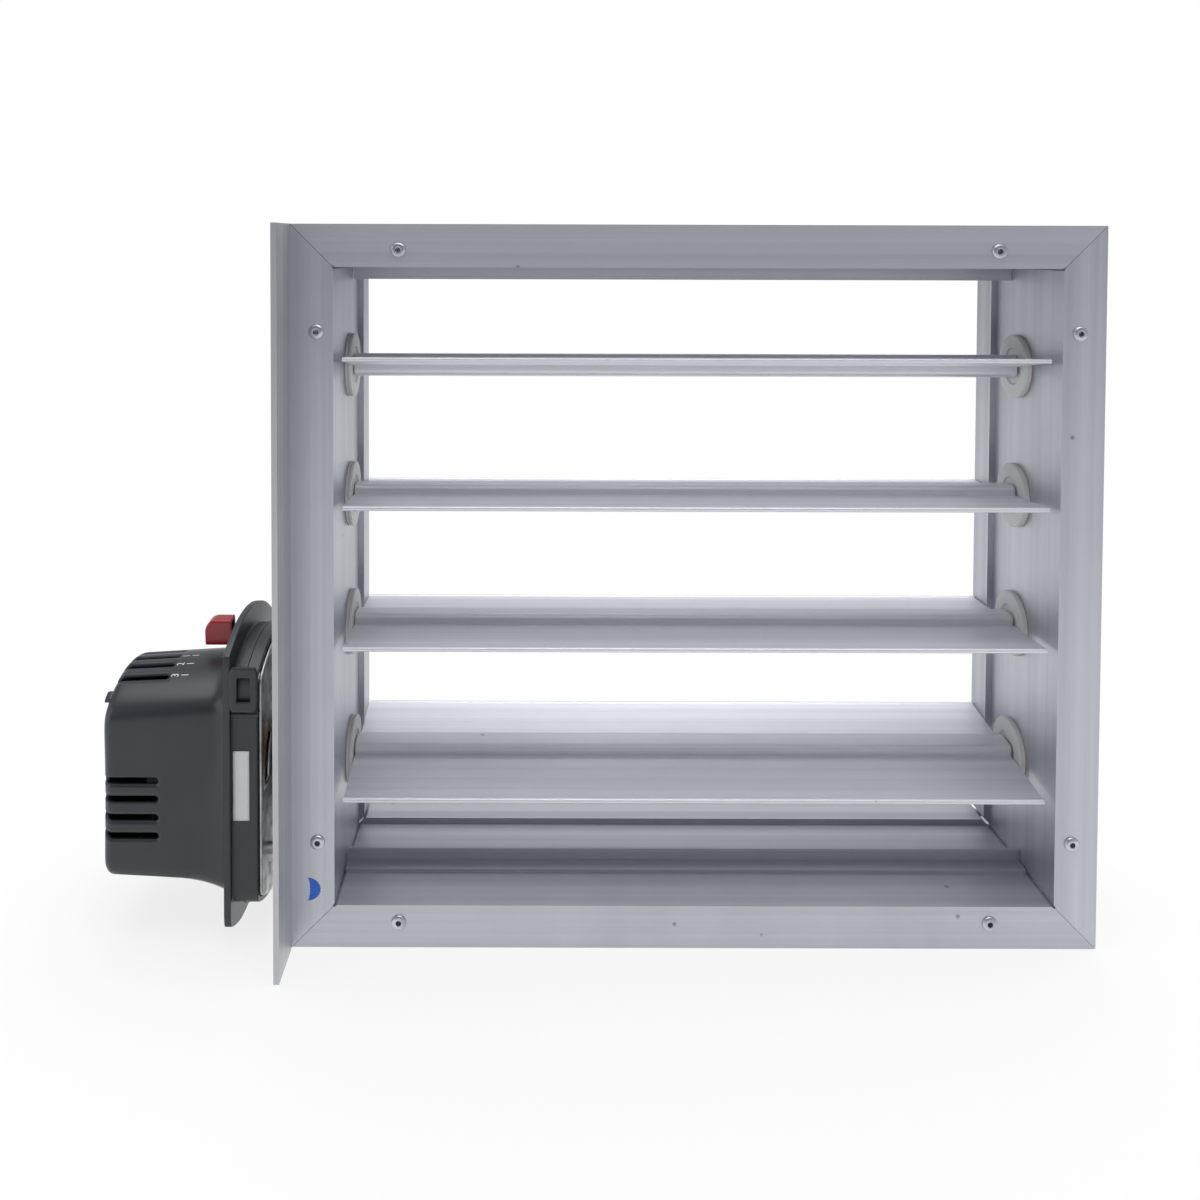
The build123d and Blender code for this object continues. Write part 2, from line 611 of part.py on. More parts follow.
def vents():
    """Slots from the cover's end: round its front and back at the axis, and over its top."""
    z = AXES[0]
    half = VENT_WIDTH / 2
    slots = []
    for i in range(SIDE_VENT_COUNT):
        height = z + VENT_PITCH * (i - (SIDE_VENT_COUNT - 1) / 2)
        outer = HOUSING_DEPTH - COVER_RADIUS
        slots.append(block(END_X - 1, END_X + SIDE_VENT_REACH, outer - 1, outer + VENT_CUT, height - half, height + half))
    for i in range(TOP_VENT_COUNT):
        y = HOUSING_DEPTH + VENT_PITCH * (i - (TOP_VENT_COUNT - 1) / 2)
        top = z + COVER_RADIUS
        slots.append(block(END_X - 1, END_X + TOP_VENT_REACH, y - half, y + half, top - COVER_EDGE - VENT_TOP_CUT, top + 1))
    return slots


def actuator_cover():
    """The dark moulded cover with its vents and the slot for the lever."""
    shell = cover_form(0) + cover_flare() - cover_form(COVER_WALL)
    for slot in vents():
        shell -= slot
    return shell - lever_window()


def sector(inner, outer, x_from, x_to, start, stop):
    """Part of a ring round the shaft axis, between two angles from +Y towards +Z."""
    z = AXES[0]
    ring = bar(x_from, x_to, outer, z) - bar(x_from, x_to, inner, z)
    reach = 3 * outer
    middle = math.radians((start + stop) / 2)
    points = [(0, 0)]
    for angle in (math.radians(start), middle, math.radians(stop)):
        points.append((reach * math.cos(angle), reach * math.sin(angle)))
    wedge = along_x(make_face(Polyline(*points, close=True)), x_from, x_to)
    return ring & Pos(0, AXIS_DEPTH, z) * wedge


def lever_window():
    """The slot that the lever's stem sweeps through."""
    margin = LEVER_ARC / 3
    start = LEVER_REST - TRAVEL - LEVER_ARC / 2 - margin
    stop = LEVER_REST + LEVER_ARC / 2 + margin
    inner = COVER_RADIUS - ACTUATOR_FORWARD - 2 * COVER_WALL
    return sector(inner, COVER_RADIUS + COVER_FLARE, LEVER_X - LEVER_SLOT - LEVER_GAP, LEVER_X + LEVER_GAP, start, stop)


def lever():
    """The red position lever: a hollow tab outside the cover, on an arm keyed to the shaft inside it."""
    z = AXES[0]
    arm_x = LEVER_X - LEVER_SLOT
    start = LEVER_REST - LEVER_ARC / 2
    stop = LEVER_REST + LEVER_ARC / 2
    eye = bar(arm_x, LEVER_X, LEVER_ARM_INNER, z)
    eye -= bar(arm_x - 1, LEVER_X + 1, SHAFT_DIAMETER / 2 + SQUARE_CLEARANCE, z)
    inner = COVER_RADIUS + LEVER_TAB_RISE
    outer = inner + LEVER_HEIGHT
    arm = sector(LEVER_ARM_INNER - 1, inner + 1, arm_x, LEVER_X, start, stop)
    right = COVER_X - LEVER_TAB_GAP
    left = right - LEVER_TAB
    tab = sector(inner, outer, left, right, start, stop)
    far_edges = tab.edges().group_by(Axis.X)[0]
    tab = fillet(far_edges.sort_by(Axis.Z)[-1], LEVER_CORNER)
    middle = AXIS_DEPTH + (inner + outer) / 2 * math.cos(math.radians(LEVER_REST))
    half = inner * math.radians(LEVER_ARC) / 2 - LEVER_HOLLOW
    tab -= block(left + LEVER_TAB / 2, right + 1, middle - half, middle + half, z + inner + LEVER_HOLLOW, z + outer - LEVER_HOLLOW)
    return eye + arm + tab


def hub():
    """The brass hub clamped on the shaft: it passes through the back plate and carries the gear."""
    z = AXES[0]
    right = PLATE_OUT - HUB_GAP
    body = bar(GEAR_X, right, HUB_DIAMETER / 2, z)
    body += bar(right - HUB_FLANGE_THICKNESS, right - HUB_GAP, HUB_FLANGE / 2, z)
    return body - bar(GEAR_X - 1, right + 1, SHAFT_DIAMETER / 2 + SQUARE_CLEARANCE, z)


def return_spring():
    """A torsion spring round the hub's flange, with one leg hooked on the back plate."""
    z = AXES[0]
    radius = HUB_FLANGE / 2 + SPRING_GAP + SPRING_WIRE / 2
    length = SPRING_PITCH * SPRING_TURNS
    right = PLATE_OUT - 2 * HUB_GAP - SPRING_WIRE
    helix = Helix(pitch=SPRING_PITCH, height=length, radius=radius)
    section = Plane(origin=helix @ 0, z_dir=helix % 0) * RegularPolygon(SPRING_WIRE / 2, SPRING_SIDES)
    coil = sweep(section, path=helix, is_frenet=True)
    coil = Pos(right - length, AXIS_DEPTH, z) * Rot(0, 90, 0) * coil
    leg = Pos(right, AXIS_DEPTH + radius, z + SPRING_LEG / 2) * Cylinder(SPRING_WIRE / 2, SPRING_LEG)
    hook = bar(BACK_X, right + SPRING_WIRE / 2, SPRING_WIRE / 2, z + SPRING_LEG, AXIS_DEPTH + radius)
    return coil + leg + hook


def back_plate():
    """The zinc-plated steel plate on the tray, with a hub hole, curved slots and a flat front edge."""
    z = AXES[0]
    plate = base_outline(BACK_PLATE_RADIUS, BASE_X, BACK_X)
    plate -= bar(BASE_X - 1, BACK_X + 1, HUB_DIAMETER / 2 + LEVER_GAP, z)
    for start in PLATE_SLOT_STARTS:
        plate -= sector(PLATE_SLOT_INNER, PLATE_SLOT_OUTER, BASE_X - 1, BACK_X + 1, start, start + PLATE_SLOT_SPAN)
    return plate


def standoff_places():
    """(Y, Z) of the posts between the side plate and the back plate: one above, two beside the lips."""
    margin = STANDOFF_SCREW_HEAD / 2 + STANDOFF_LIP_GAP
    places = [(AXIS_DEPTH, AXES[0] + STANDOFF_CIRCLE)]
    for y in (FRONT_LIP + margin, FRAME_DEPTH - REAR_LIP - margin):
        drop = math.sqrt(STANDOFF_CIRCLE ** 2 - (y - AXIS_DEPTH) ** 2)
        places.append((y, AXES[0] - drop))
    return places


def standoffs():
    """Threaded posts that carry the actuator off the side plate."""
    posts = []
    for y, z in standoff_places():
        post = bar(BACK_X, PLATE_OUT, STANDOFF_DIAMETER / 2, z, y)
        drill = bar(PLATE_OUT - STANDOFF_SCREW_LENGTH, PLATE_OUT, STANDOFF_SCREW / 2 + HOLE_CLEARANCE, z, y)
        posts.append(post - drill)
    return posts


def actuator_screws():
    """Screws through the side plate into the posts, with their heads in the channel."""
    screws = []
    for y, z in standoff_places():
        shank = bar(PLATE_OUT - STANDOFF_SCREW_LENGTH + 1, -HALF_WIDTH, STANDOFF_SCREW / 2, z, y)
        head = bar(-HALF_WIDTH, -HALF_WIDTH + STANDOFF_HEAD_RISE, STANDOFF_SCREW_HEAD / 2, z, y)
        screws.append(shank + head)
    return screws


def gear_sketch(teeth, first):
    """A spur gear's outline in (Y, Z), with the middle of one tooth in the direction first (degrees)."""
    pitch = GEAR_MODULE * teeth / 2
    tip = pitch + GEAR_ADDENDUM * GEAR_MODULE
    root = pitch - GEAR_DEDENDUM * GEAR_MODULE
    step = 360 / teeth
    share = step * GEAR_TOOTH_SHARE / 2
    points = []
    for i in range(teeth):
        middle = first + step * i
        for radius, offset in ((root, -1.5), (tip, -0.55), (tip, 0.55), (root, 1.5)):
            angle = math.radians(middle + share * offset)
            points.append((radius * math.cos(angle), radius * math.sin(angle)))
    return make_face(Polyline(*points, close=True))


def output_gear():
    """The gear on the hub, turned by the motor's pinion below it."""
    wheel = Pos(0, AXIS_DEPTH, AXES[0]) * along_x(gear_sketch(OUTPUT_TEETH, 270), GEAR_X, GEAR_X + GEAR_FACE)
    return wheel - bar(GEAR_X - 1, GEAR_X + GEAR_FACE + 1, HUB_DIAMETER / 2, AXES[0])


def motor_pinion():
    """The pinion and its short shaft, which runs in the motor's nose."""
    z = AXES[0] - MOTOR_OFFSET
    half_step = 180 / PINION_TEETH
    wheel = along_x(gear_sketch(PINION_TEETH, 90 + half_step), GEAR_X, GEAR_X + GEAR_FACE)
    stem = bar(COVER_X - MOTOR_LENGTH / 3, GEAR_X, MOTOR_SHAFT / 2, z)
    return Pos(0, AXIS_DEPTH, z) * wheel + stem


def motor():
    """The small gear motor on the outer side of the tray's floor."""
    z = AXES[0] - MOTOR_OFFSET
    can = bar(COVER_X - MOTOR_LENGTH, COVER_X, MOTOR_DIAMETER / 2, z)
    return can - bar(COVER_X - MOTOR_LENGTH / 2, COVER_X, MOTOR_SHAFT / 2 + RUNNING_CLEARANCE, z)


def pillar_places():
    """(Y, Z) of the pillars that carry the circuit board."""
    angles = [math.radians(a) for a in PILLAR_PLACES]
    return [(HOUSING_DEPTH + PILLAR_CIRCLE * math.cos(a), AXES[0] + PILLAR_CIRCLE * math.sin(a)) for a in angles]


def circuit_board():
    """The control board across the tray's pillars."""
    left = COVER_X - BOARD_STANDOFF - BOARD_THICKNESS
    return bar(left, COVER_X - BOARD_STANDOFF, BOARD_RADIUS, AXES[0], HOUSING_DEPTH)


def terminal_block():
    """The wiring terminals on the board."""
    left = COVER_X - BOARD_STANDOFF - BOARD_THICKNESS
    half = TERMINAL_LENGTH / 2
    z = AXES[0]
    strip = block(left - TERMINAL_HEIGHT, left, HOUSING_DEPTH - half, HOUSING_DEPTH + half, z - TERMINAL_WIDTH, z)
    for i in range(TERMINAL_WAYS):
        y = HOUSING_DEPTH - half + TERMINAL_LENGTH * (i + 0.5) / TERMINAL_WAYS
        strip -= bar(left - TERMINAL_HEIGHT - 1, left - TERMINAL_HEIGHT / 2, TERMINAL_SCREW / 2, z - TERMINAL_WIDTH / 2, y)
    return strip


def rating_label():
    """The bare white label on the tray's flat front wall."""
    front = HOUSING_DEPTH - SKIRT_FRONT_CUT + BASE_WALL
    left = SKIRT_X + SKIRT_RIM_RISE + LABEL_MARGIN
    z = AXES[0] - LABEL_DROP
    return block(left, left + LABEL_WIDTH, front - LABEL_THICKNESS, front, z - LABEL_HEIGHT / 2, z + LABEL_HEIGHT / 2)


def retaining_clip(i):
    """A clip on the right end of a shaft, outside the bearing's barb."""
    start = WALL_OUT + BEARING_BARB_LENGTH + CLIP_GAP
    ring = bar(start, start + CLIP_THICKNESS, CLIP_DIAMETER / 2, AXES[i])
    return ring - bar(start - 1, start + CLIP_THICKNESS + 1, SHAFT_DIAMETER / 2 + SQUARE_CLEARANCE, AXES[i])


# --- all pieces ---------------------------------------------------------------------------
def main():
    """Builds every node and writes it."""
    os.makedirs(PARTS, exist_ok=True)
    for name, solid in frame_rails().items():
        write(name, solid)
    write("blade_stop_bottom", blade_stop(False))
    write("blade_stop_top", blade_stop(True))
    write("front_corner_cleats", *cleats(True))
    write("rear_corner_cleats", *cleats(False))
    write("front_rivets", *rivets(True))
    write("rear_rivets", *rivets(False))
    for i, z in enumerate(AXES):
        number = i + 1
        write(f"bearing_left_{number}", bearing(-1, z))
        write(f"bearing_right_{number}", bearing(1, z))
        write(f"blade_{number}", blade(i))
        write(f"shaft_{number}", shaft(i))
        write(f"retaining_clip_{number}", retaining_clip(i))
        write(f"crank_{number}", crank(i))
        write(f"link_pin_{number}", link_pin(i))
    write("link_bar", link_bar())
    write("side_plate", side_plate())
    write("side_plate_screws", *plate_screws())
    write("actuator_base", actuator_base())
    write("actuator_cover", actuator_cover())
    write("actuator_back_plate", back_plate())
    write("actuator_standoffs", *standoffs())
    write("actuator_screws", *actuator_screws())
    write("shaft_hub", hub())
    write("return_spring", return_spring())
    write("position_lever", lever())
    write("output_gear", output_gear())
    write("motor_pinion", motor_pinion())
    write("motor", motor())
    write("circuit_board", circuit_board())
    write("terminal_block", terminal_block())
    write("rating_label", rating_label())


main()
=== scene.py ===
"""Dresses the volume control damper: camera, studio, finishes and the small parts made as meshes."""
import logging
import math
from dataclasses import dataclass
from enum import Enum

import bmesh
import bpy
import numpy as np
from mathutils import Euler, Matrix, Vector


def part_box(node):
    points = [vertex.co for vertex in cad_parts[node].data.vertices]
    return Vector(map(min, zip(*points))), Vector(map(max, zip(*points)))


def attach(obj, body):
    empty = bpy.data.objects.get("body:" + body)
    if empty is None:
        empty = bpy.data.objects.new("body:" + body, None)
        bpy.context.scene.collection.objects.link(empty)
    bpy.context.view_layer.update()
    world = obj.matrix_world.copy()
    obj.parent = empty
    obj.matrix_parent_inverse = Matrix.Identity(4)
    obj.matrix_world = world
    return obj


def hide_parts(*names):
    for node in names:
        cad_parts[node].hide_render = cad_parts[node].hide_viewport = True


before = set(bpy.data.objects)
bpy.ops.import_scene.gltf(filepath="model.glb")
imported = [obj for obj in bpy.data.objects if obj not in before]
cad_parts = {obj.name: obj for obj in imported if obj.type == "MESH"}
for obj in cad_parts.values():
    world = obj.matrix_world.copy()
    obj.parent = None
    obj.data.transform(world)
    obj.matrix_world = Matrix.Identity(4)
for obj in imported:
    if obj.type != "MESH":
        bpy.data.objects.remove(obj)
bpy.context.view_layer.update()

LOG = logging.getLogger("damper")
MM = 0.001
Triple = tuple[float, float, float]
Socket = bpy.types.NodeSocket


class Run(Enum):
    """The direction in which a piece was drawn through its die."""

    ACROSS = (1.2, 420.0, 420.0)
    UPRIGHT = (420.0, 420.0, 1.2)


# --- node helpers -------------------------------------------------------------------------
class Tree:
    """A thin wrapper that adds and links shader nodes."""

    def __init__(self, tree: bpy.types.NodeTree) -> None:
        """Keeps the tree.

        Args:
            tree: a material's, a world's or a group's node tree.
        """
        self.tree = tree

    def add(self, kind: str, **values: object) -> bpy.types.Node:
        """Adds a node and sets its properties.

        Args:
            kind: the node's type name.
            **values: properties of the node, by name.

        Returns:
            The node.
        """
        node = self.tree.nodes.new(kind)
        for name, value in values.items():
            setattr(node, name, value)
        return node

    def link(self, source: Socket, target: Socket) -> None:
        """Links an output to an input."""
        self.tree.links.new(source, target)

    def feed(self, node: bpy.types.Node, socket: str | int, value: object) -> None:
        """Puts a number, a colour or another node's output into an input."""
        if isinstance(value, Socket):
            self.link(value, node.inputs[socket])
        elif value is not None:
            node.inputs[socket].default_value = value

    def math(self, operation: str, a: object, b: object = None, clamp: bool = False) -> Socket:
        """One step of arithmetic."""
        node = self.add("ShaderNodeMath", operation=operation, use_clamp=clamp)
        self.feed(node, 0, a)
        self.feed(node, 1, b)
        return node.outputs[0]

    def scaled(self, vector: object, scale: Triple) -> Socket:
        """A vector times a scale along each axis."""
        node = self.add("ShaderNodeMapping")
        self.feed(node, "Vector", vector)
        node.inputs["Scale"].default_value = scale
        return node.outputs[0]

    def noise(self, vector: object, scale: float, detail: float = 3.0, roughness: float = 0.5) -> Socket:
        """Smooth noise between 0 and 1."""
        node = self.add("ShaderNodeTexNoise")
        self.feed(node, "Vector", vector)
        node.inputs["Scale"].default_value = scale
        node.inputs["Detail"].default_value = detail
        node.inputs["Roughness"].default_value = roughness
        return node.outputs[0]

    def ramp(
        self, value: object, low: float, high: float, out_low: float = 0.0, out_high: float = 1.0
    ) -> Socket:
        """Maps a range of values to another, held at both ends."""
        node = self.add("ShaderNodeMapRange", clamp=True)
        self.feed(node, 0, value)
        for socket, number in zip((1, 2, 3, 4), (low, high, out_low, out_high)):
            node.inputs[socket].default_value = number
        return node.outputs[0]

    def blend(self, share: object, a: object, b: object, mode: str = "MIX") -> Socket:
        """Mixes two colours."""
        node = self.add("ShaderNodeMix", data_type="RGBA", blend_type=mode)
        self.feed(node, 0, share)
        self.feed(node, 6, a)
        self.feed(node, 7, b)
        return node.outputs[2]

    def bump(self, shader: bpy.types.Node, height: Socket, strength: float, distance: float) -> None:
        """Feeds a height to a shader's normal."""
        node = self.add("ShaderNodeBump")
        node.inputs["Strength"].default_value = strength
        node.inputs["Distance"].default_value = distance
        self.link(height, node.inputs["Height"])
        self.link(node.outputs[0], shader.inputs["Normal"])


def new_group(
    name: str, inputs: dict[str, tuple[str, object]], outputs: dict[str, str]
) -> tuple[Tree, bpy.types.Node, bpy.types.Node]:
    """Starts a node group.

    Args:
        name: the group's name.
        inputs: socket type and default value by name.
        outputs: socket type by name.

    Returns:
        The group's tree, its input node and its output node.
    """
    group = bpy.data.node_groups.new(name, "ShaderNodeTree")
    for label, (kind, value) in inputs.items():
        socket = group.interface.new_socket(label, in_out="INPUT", socket_type=kind)
        if value is not None:
            socket.default_value = value
    for label, kind in outputs.items():
        group.interface.new_socket(label, in_out="OUTPUT", socket_type=kind)
    tree = Tree(group)
    return tree, tree.add("NodeGroupInput"), tree.add("NodeGroupOutput")


def build_die_lines() -> bpy.types.NodeTree:
    """Fine lines along one direction, as a die leaves them.

    Three noises, each stretched along the run, are added: broad bands, lines and hair lines.
    """
    tree, given, made = new_group(
        "die_lines",
        {"Vector": ("NodeSocketVector", None), "Bands": ("NodeSocketFloat", 0.5), "Hairs": ("NodeSocketFloat", 0.5)},
        {"Tone": "NodeSocketFloat", "Height": "NodeSocketFloat"},
    )
    bands = tree.noise(given.outputs["Vector"], 0.35, 2.0)
    lines = tree.noise(given.outputs["Vector"], 1.6, 3.0, 0.6)
    hairs = tree.noise(given.outputs["Vector"], 7.0, 2.0, 0.7)
    broad = tree.math("MULTIPLY", tree.ramp(bands, 0.35, 0.65), given.outputs["Bands"])
    fine = tree.math("MULTIPLY", hairs, given.outputs["Hairs"])
    tree.link(tree.math("ADD", broad, fine), made.inputs["Tone"])
    height = tree.math("ADD", tree.math("MULTIPLY", lines, 0.6), tree.math("MULTIPLY", hairs, 0.4))
    tree.link(height, made.inputs["Height"])
    return tree.tree


def build_handling() -> bpy.types.NodeTree:
    """Marks of handling: cloudy smudges, a few wiped streaks and small dark specks."""
    tree, given, made = new_group(
        "handling_marks",
        {
            "Vector": ("NodeSocketVector", None),
            "Clouds": ("NodeSocketFloat", 0.5),
            "Specks": ("NodeSocketFloat", 0.3),
        },
        {"Smudge": "NodeSocketFloat", "Speck": "NodeSocketFloat"},
    )
    warped = tree.noise(given.outputs["Vector"], 9.0, 4.0, 0.6)
    cloud = tree.ramp(warped, 0.42, 0.72)
    streak = tree.noise(tree.scaled(given.outputs["Vector"], (1.0, 1.0, 0.22)), 42.0, 3.0, 0.65)
    both = tree.math("MULTIPLY", cloud, tree.ramp(streak, 0.35, 0.75, 0.3, 1.0))
    tree.link(tree.math("MULTIPLY", both, given.outputs["Clouds"]), made.inputs["Smudge"])
    cells = tree.add("ShaderNodeTexVoronoi", feature="F1")
    tree.link(given.outputs["Vector"], cells.inputs["Vector"])
    cells.inputs["Scale"].default_value = 46.0
    dots = tree.ramp(cells.outputs["Distance"], 0.035, 0.06, 1.0, 0.0)
    rare = tree.ramp(tree.noise(given.outputs["Vector"], 15.0, 1.0), 0.56, 0.6)
    tree.link(tree.math("MULTIPLY", tree.math("MULTIPLY", dots, rare), given.outputs["Specks"]), made.inputs["Speck"])
    return tree.tree


def build_grain() -> bpy.types.NodeTree:
    """The fine spark-eroded grain of a moulded part: two scales of round bumps."""
    tree, given, made = new_group(
        "moulded_grain",
        {"Vector": ("NodeSocketVector", None), "Scale": ("NodeSocketFloat", 1.0)},
        {"Height": "NodeSocketFloat", "Tone": "NodeSocketFloat"},
    )
    sized = tree.add("ShaderNodeVectorMath", operation="SCALE")
    tree.link(given.outputs["Vector"], sized.inputs[0])
    tree.link(given.outputs["Scale"], sized.inputs["Scale"])
    fine = tree.noise(sized.outputs[0], 1500.0, 2.0, 0.5)
    coarse = tree.noise(sized.outputs[0], 260.0, 2.0, 0.5)
    height = tree.math("ADD", tree.math("MULTIPLY", fine, 0.7), tree.math("MULTIPLY", coarse, 0.3))
    tree.link(height, made.inputs["Height"])
    tree.link(tree.noise(sized.outputs[0], 30.0, 4.0, 0.6), made.inputs["Tone"])
    return tree.tree


GROUPS = {"die_lines": build_die_lines(), "handling_marks": build_handling(), "moulded_grain": build_grain()}


def use_group(tree: Tree, name: str, **values: object) -> bpy.types.Node:
    """Places a shared group in a material and feeds its inputs."""
    node = tree.add("ShaderNodeGroup", node_tree=GROUPS[name])
    for label, value in values.items():
        tree.feed(node, label, value)
    return node


# --- finishes -----------------------------------------------------------------------------
def start_material(name: str) -> tuple[bpy.types.Material, Tree, bpy.types.Node, Socket]:
    """A material with one Principled shader.

    Args:
        name: the material's name.

    Returns:
        The material, its tree, its shader and the piece's object coordinates.
    """
    material = bpy.data.materials.new(name)
    material.use_nodes = True
    tree = Tree(material.node_tree)
    shader = material.node_tree.nodes["Principled BSDF"]
    place = tree.add("ShaderNodeTexCoord").outputs["Object"]
    return material, tree, shader, place


@dataclass(frozen=True)
class DrawnAluminium:
    """Extruded aluminium in mill finish."""

    name: str
    run: Run
    dark: Triple
    light: Triple
    roughness: float = 0.36
    clouds: float = 0.5
    specks: float = 0.5
    metallic: float = 0.85
    depth: float = 0.00004

    def build(self) -> bpy.types.Material:
        """Lines along the run tint and score the metal, and smudges dull it."""
        material, tree, shader, place = start_material(self.name)
        lines = use_group(tree, "die_lines", Vector=tree.scaled(place, self.run.value), Bands=0.5, Hairs=0.5)
        marks = use_group(tree, "handling_marks", Vector=place, Clouds=self.clouds, Specks=self.specks)
        base = tree.blend(lines.outputs["Tone"], (*self.dark, 1), (*self.light, 1))
        smudged = tree.math("MULTIPLY", marks.outputs["Smudge"], 0.35)
        dull = tree.blend(smudged, base, (*[c * 0.7 for c in self.dark], 1))
        spotted = tree.blend(marks.outputs["Speck"], dull, (0.05, 0.05, 0.055, 1))
        tree.link(spotted, shader.inputs["Base Color"])
        rough = tree.math("ADD", self.roughness, tree.math("MULTIPLY", lines.outputs["Tone"], 0.1))
        rough = tree.math("ADD", rough, tree.math("MULTIPLY", marks.outputs["Smudge"], 0.22), clamp=True)
        tree.link(rough, shader.inputs["Roughness"])
        shader.inputs["Metallic"].default_value = self.metallic
        tree.bump(shader, lines.outputs["Height"], 0.35, self.depth)
        return material


@dataclass(frozen=True)
class Moulded:
    """A moulded plastic with a fine grain."""

    name: str
    colour: Triple
    roughness: float = 0.38
    grain: float = 0.00003
    grain_scale: float = 1.0
    mottle: float = 0.12
    coat: float = 0.0
    subsurface: float = 0.0

    def build(self) -> bpy.types.Material:
        """Colour with a slight mottle, and the grain as bump and as roughness."""
        material, tree, shader, place = start_material(self.name)
        grain = use_group(tree, "moulded_grain", Vector=place, Scale=self.grain_scale)
        shade = tree.ramp(grain.outputs["Tone"], 0.3, 0.7, 1.0 - self.mottle, 1.0 + self.mottle)
        colour = tree.add("ShaderNodeVectorMath", operation="SCALE")
        colour.inputs[0].default_value = self.colour
        tree.link(shade, colour.inputs["Scale"])
        tree.link(colour.outputs[0], shader.inputs["Base Color"])
        marks = use_group(tree, "handling_marks", Vector=place, Clouds=0.6, Specks=0.0)
        rough = tree.math("ADD", self.roughness, tree.math("MULTIPLY", marks.outputs["Smudge"], 0.18))
        tree.link(rough, shader.inputs["Roughness"])
        shader.inputs["Coat Weight"].default_value = self.coat
        shader.inputs["Subsurface Weight"].default_value = self.subsurface
        tree.bump(shader, grain.outputs["Height"], 0.5, self.grain)
        return material


@dataclass(frozen=True)
class Plated:
    """Turned or plated metal with tarnish in patches."""

    name: str
    bright: Triple
    tarnish: Triple
    roughness: float = 0.3
    metallic: float = 1.0

    def build(self) -> bpy.types.Material:
        """Patches of tarnish dull the bright metal, with fine scratches over both."""
        material, tree, shader, place = start_material(self.name)
        patch = tree.ramp(tree.noise(place, 120.0, 4.0, 0.6), 0.4, 0.68)
        tree.link(tree.blend(patch, (*self.bright, 1), (*self.tarnish, 1)), shader.inputs["Base Color"])
        tree.link(tree.ramp(patch, 0.0, 1.0, self.roughness, self.roughness + 0.2), shader.inputs["Roughness"])
        shader.inputs["Metallic"].default_value = self.metallic
        scratches = tree.noise(tree.scaled(place, (1.0, 6.0, 1.0)), 900.0, 2.0)
        tree.bump(shader, scratches, 0.25, 0.00003)
        return material


def finishes() -> dict[str, bpy.types.Material]:
    """Every finish, by name."""
    cool_dark, cool_light = (0.43, 0.445, 0.49), (0.62, 0.63, 0.67)
    made = [
        DrawnAluminium("rail_across", Run.ACROSS, cool_dark, cool_light, metallic=0.72),
        DrawnAluminium("rail_upright", Run.UPRIGHT, cool_dark, cool_light),
        DrawnAluminium("blade_metal", Run.ACROSS, (0.66, 0.67, 0.71), (0.84, 0.85, 0.89), 0.42, 0.35, 0.35, 0.68),
        DrawnAluminium("plate_metal", Run.UPRIGHT, (0.45, 0.46, 0.49), (0.62, 0.63, 0.65), 0.42),
        Moulded("nylon", (0.66, 0.64, 0.61), 0.42, 0.00002, 0.6, 0.06, 0.0, 0.15),
        Moulded("dark_cover", (0.026, 0.0285, 0.036), 0.30, 0.00003),
        Moulded("dark_base", (0.028, 0.031, 0.036), 0.34, 0.00003),
        Moulded("red_grip", (0.34, 0.008, 0.014), 0.28, 0.00001, 0.8, 0.08, 0.3),
        Moulded("paper_label", (0.78, 0.78, 0.78), 0.55, 0.00001, 0.5, 0.03),
        Moulded("white_print", (0.80, 0.80, 0.80), 0.5, 0.00001, 0.5, 0.06),
        Moulded("blue_ink", (0.02, 0.13, 0.62), 0.45, 0.00001, 0.5, 0.3),
        Moulded("board_mask", (0.008, 0.03, 0.016), 0.35, 0.00001),
        Moulded("terminal_green", (0.012, 0.04, 0.03), 0.35, 0.00001),
        Plated("rivet_metal", (0.58, 0.59, 0.62), (0.42, 0.43, 0.47), 0.3),
        Plated("zinc_plate", (0.60, 0.60, 0.60), (0.40, 0.40, 0.38), 0.32),
        Plated("shaft_steel", (0.52, 0.52, 0.53), (0.36, 0.36, 0.36), 0.3),
        Plated("bronze", (0.52, 0.34, 0.14), (0.28, 0.16, 0.07), 0.32),
        Plated("black_wire", (0.05, 0.05, 0.055), (0.02, 0.02, 0.02), 0.35, 0.6),
    ]
    return {finish.name: finish.build() for finish in made}


# --- camera and studio --------------------------------------------------------------------
@dataclass
class Viewpoint:
    """Where the picture is taken from, in metres from the middle of the duct opening's front face."""

    left: float = 0.0768
    before: float = 0.4964
    above_floor: float = 0.3306
    yaw: float = 0.0
    pitch: float = -1.64
    roll: float = -0.16
    lens: float = 32.239
    sensor: float = 36.0
    shift_x: float = 0.0562
    shift_y: float = -0.2705

    def build(self, centre_x: float, front_y: float) -> bpy.types.Object:
        """Makes the camera.

        Args:
            centre_x: the middle of the opening.
            front_y: the front face of the frame.

        Returns:
            The camera.
        """
        data = bpy.data.cameras.new("camera")
        data.lens = self.lens
        data.sensor_width = self.sensor
        data.shift_x = self.shift_x
        data.shift_y = self.shift_y
        data.clip_start = 0.01
        data.clip_end = 50.0
        camera = bpy.data.objects.new("camera", data)
        camera.location = (centre_x - self.left, front_y - self.before, self.above_floor)
        turn = Euler((math.radians(90 + self.pitch), math.radians(self.roll), math.radians(-self.yaw)), "XYZ")
        camera.rotation_euler = turn
        bpy.context.collection.objects.link(camera)
        bpy.context.scene.camera = camera
        return camera


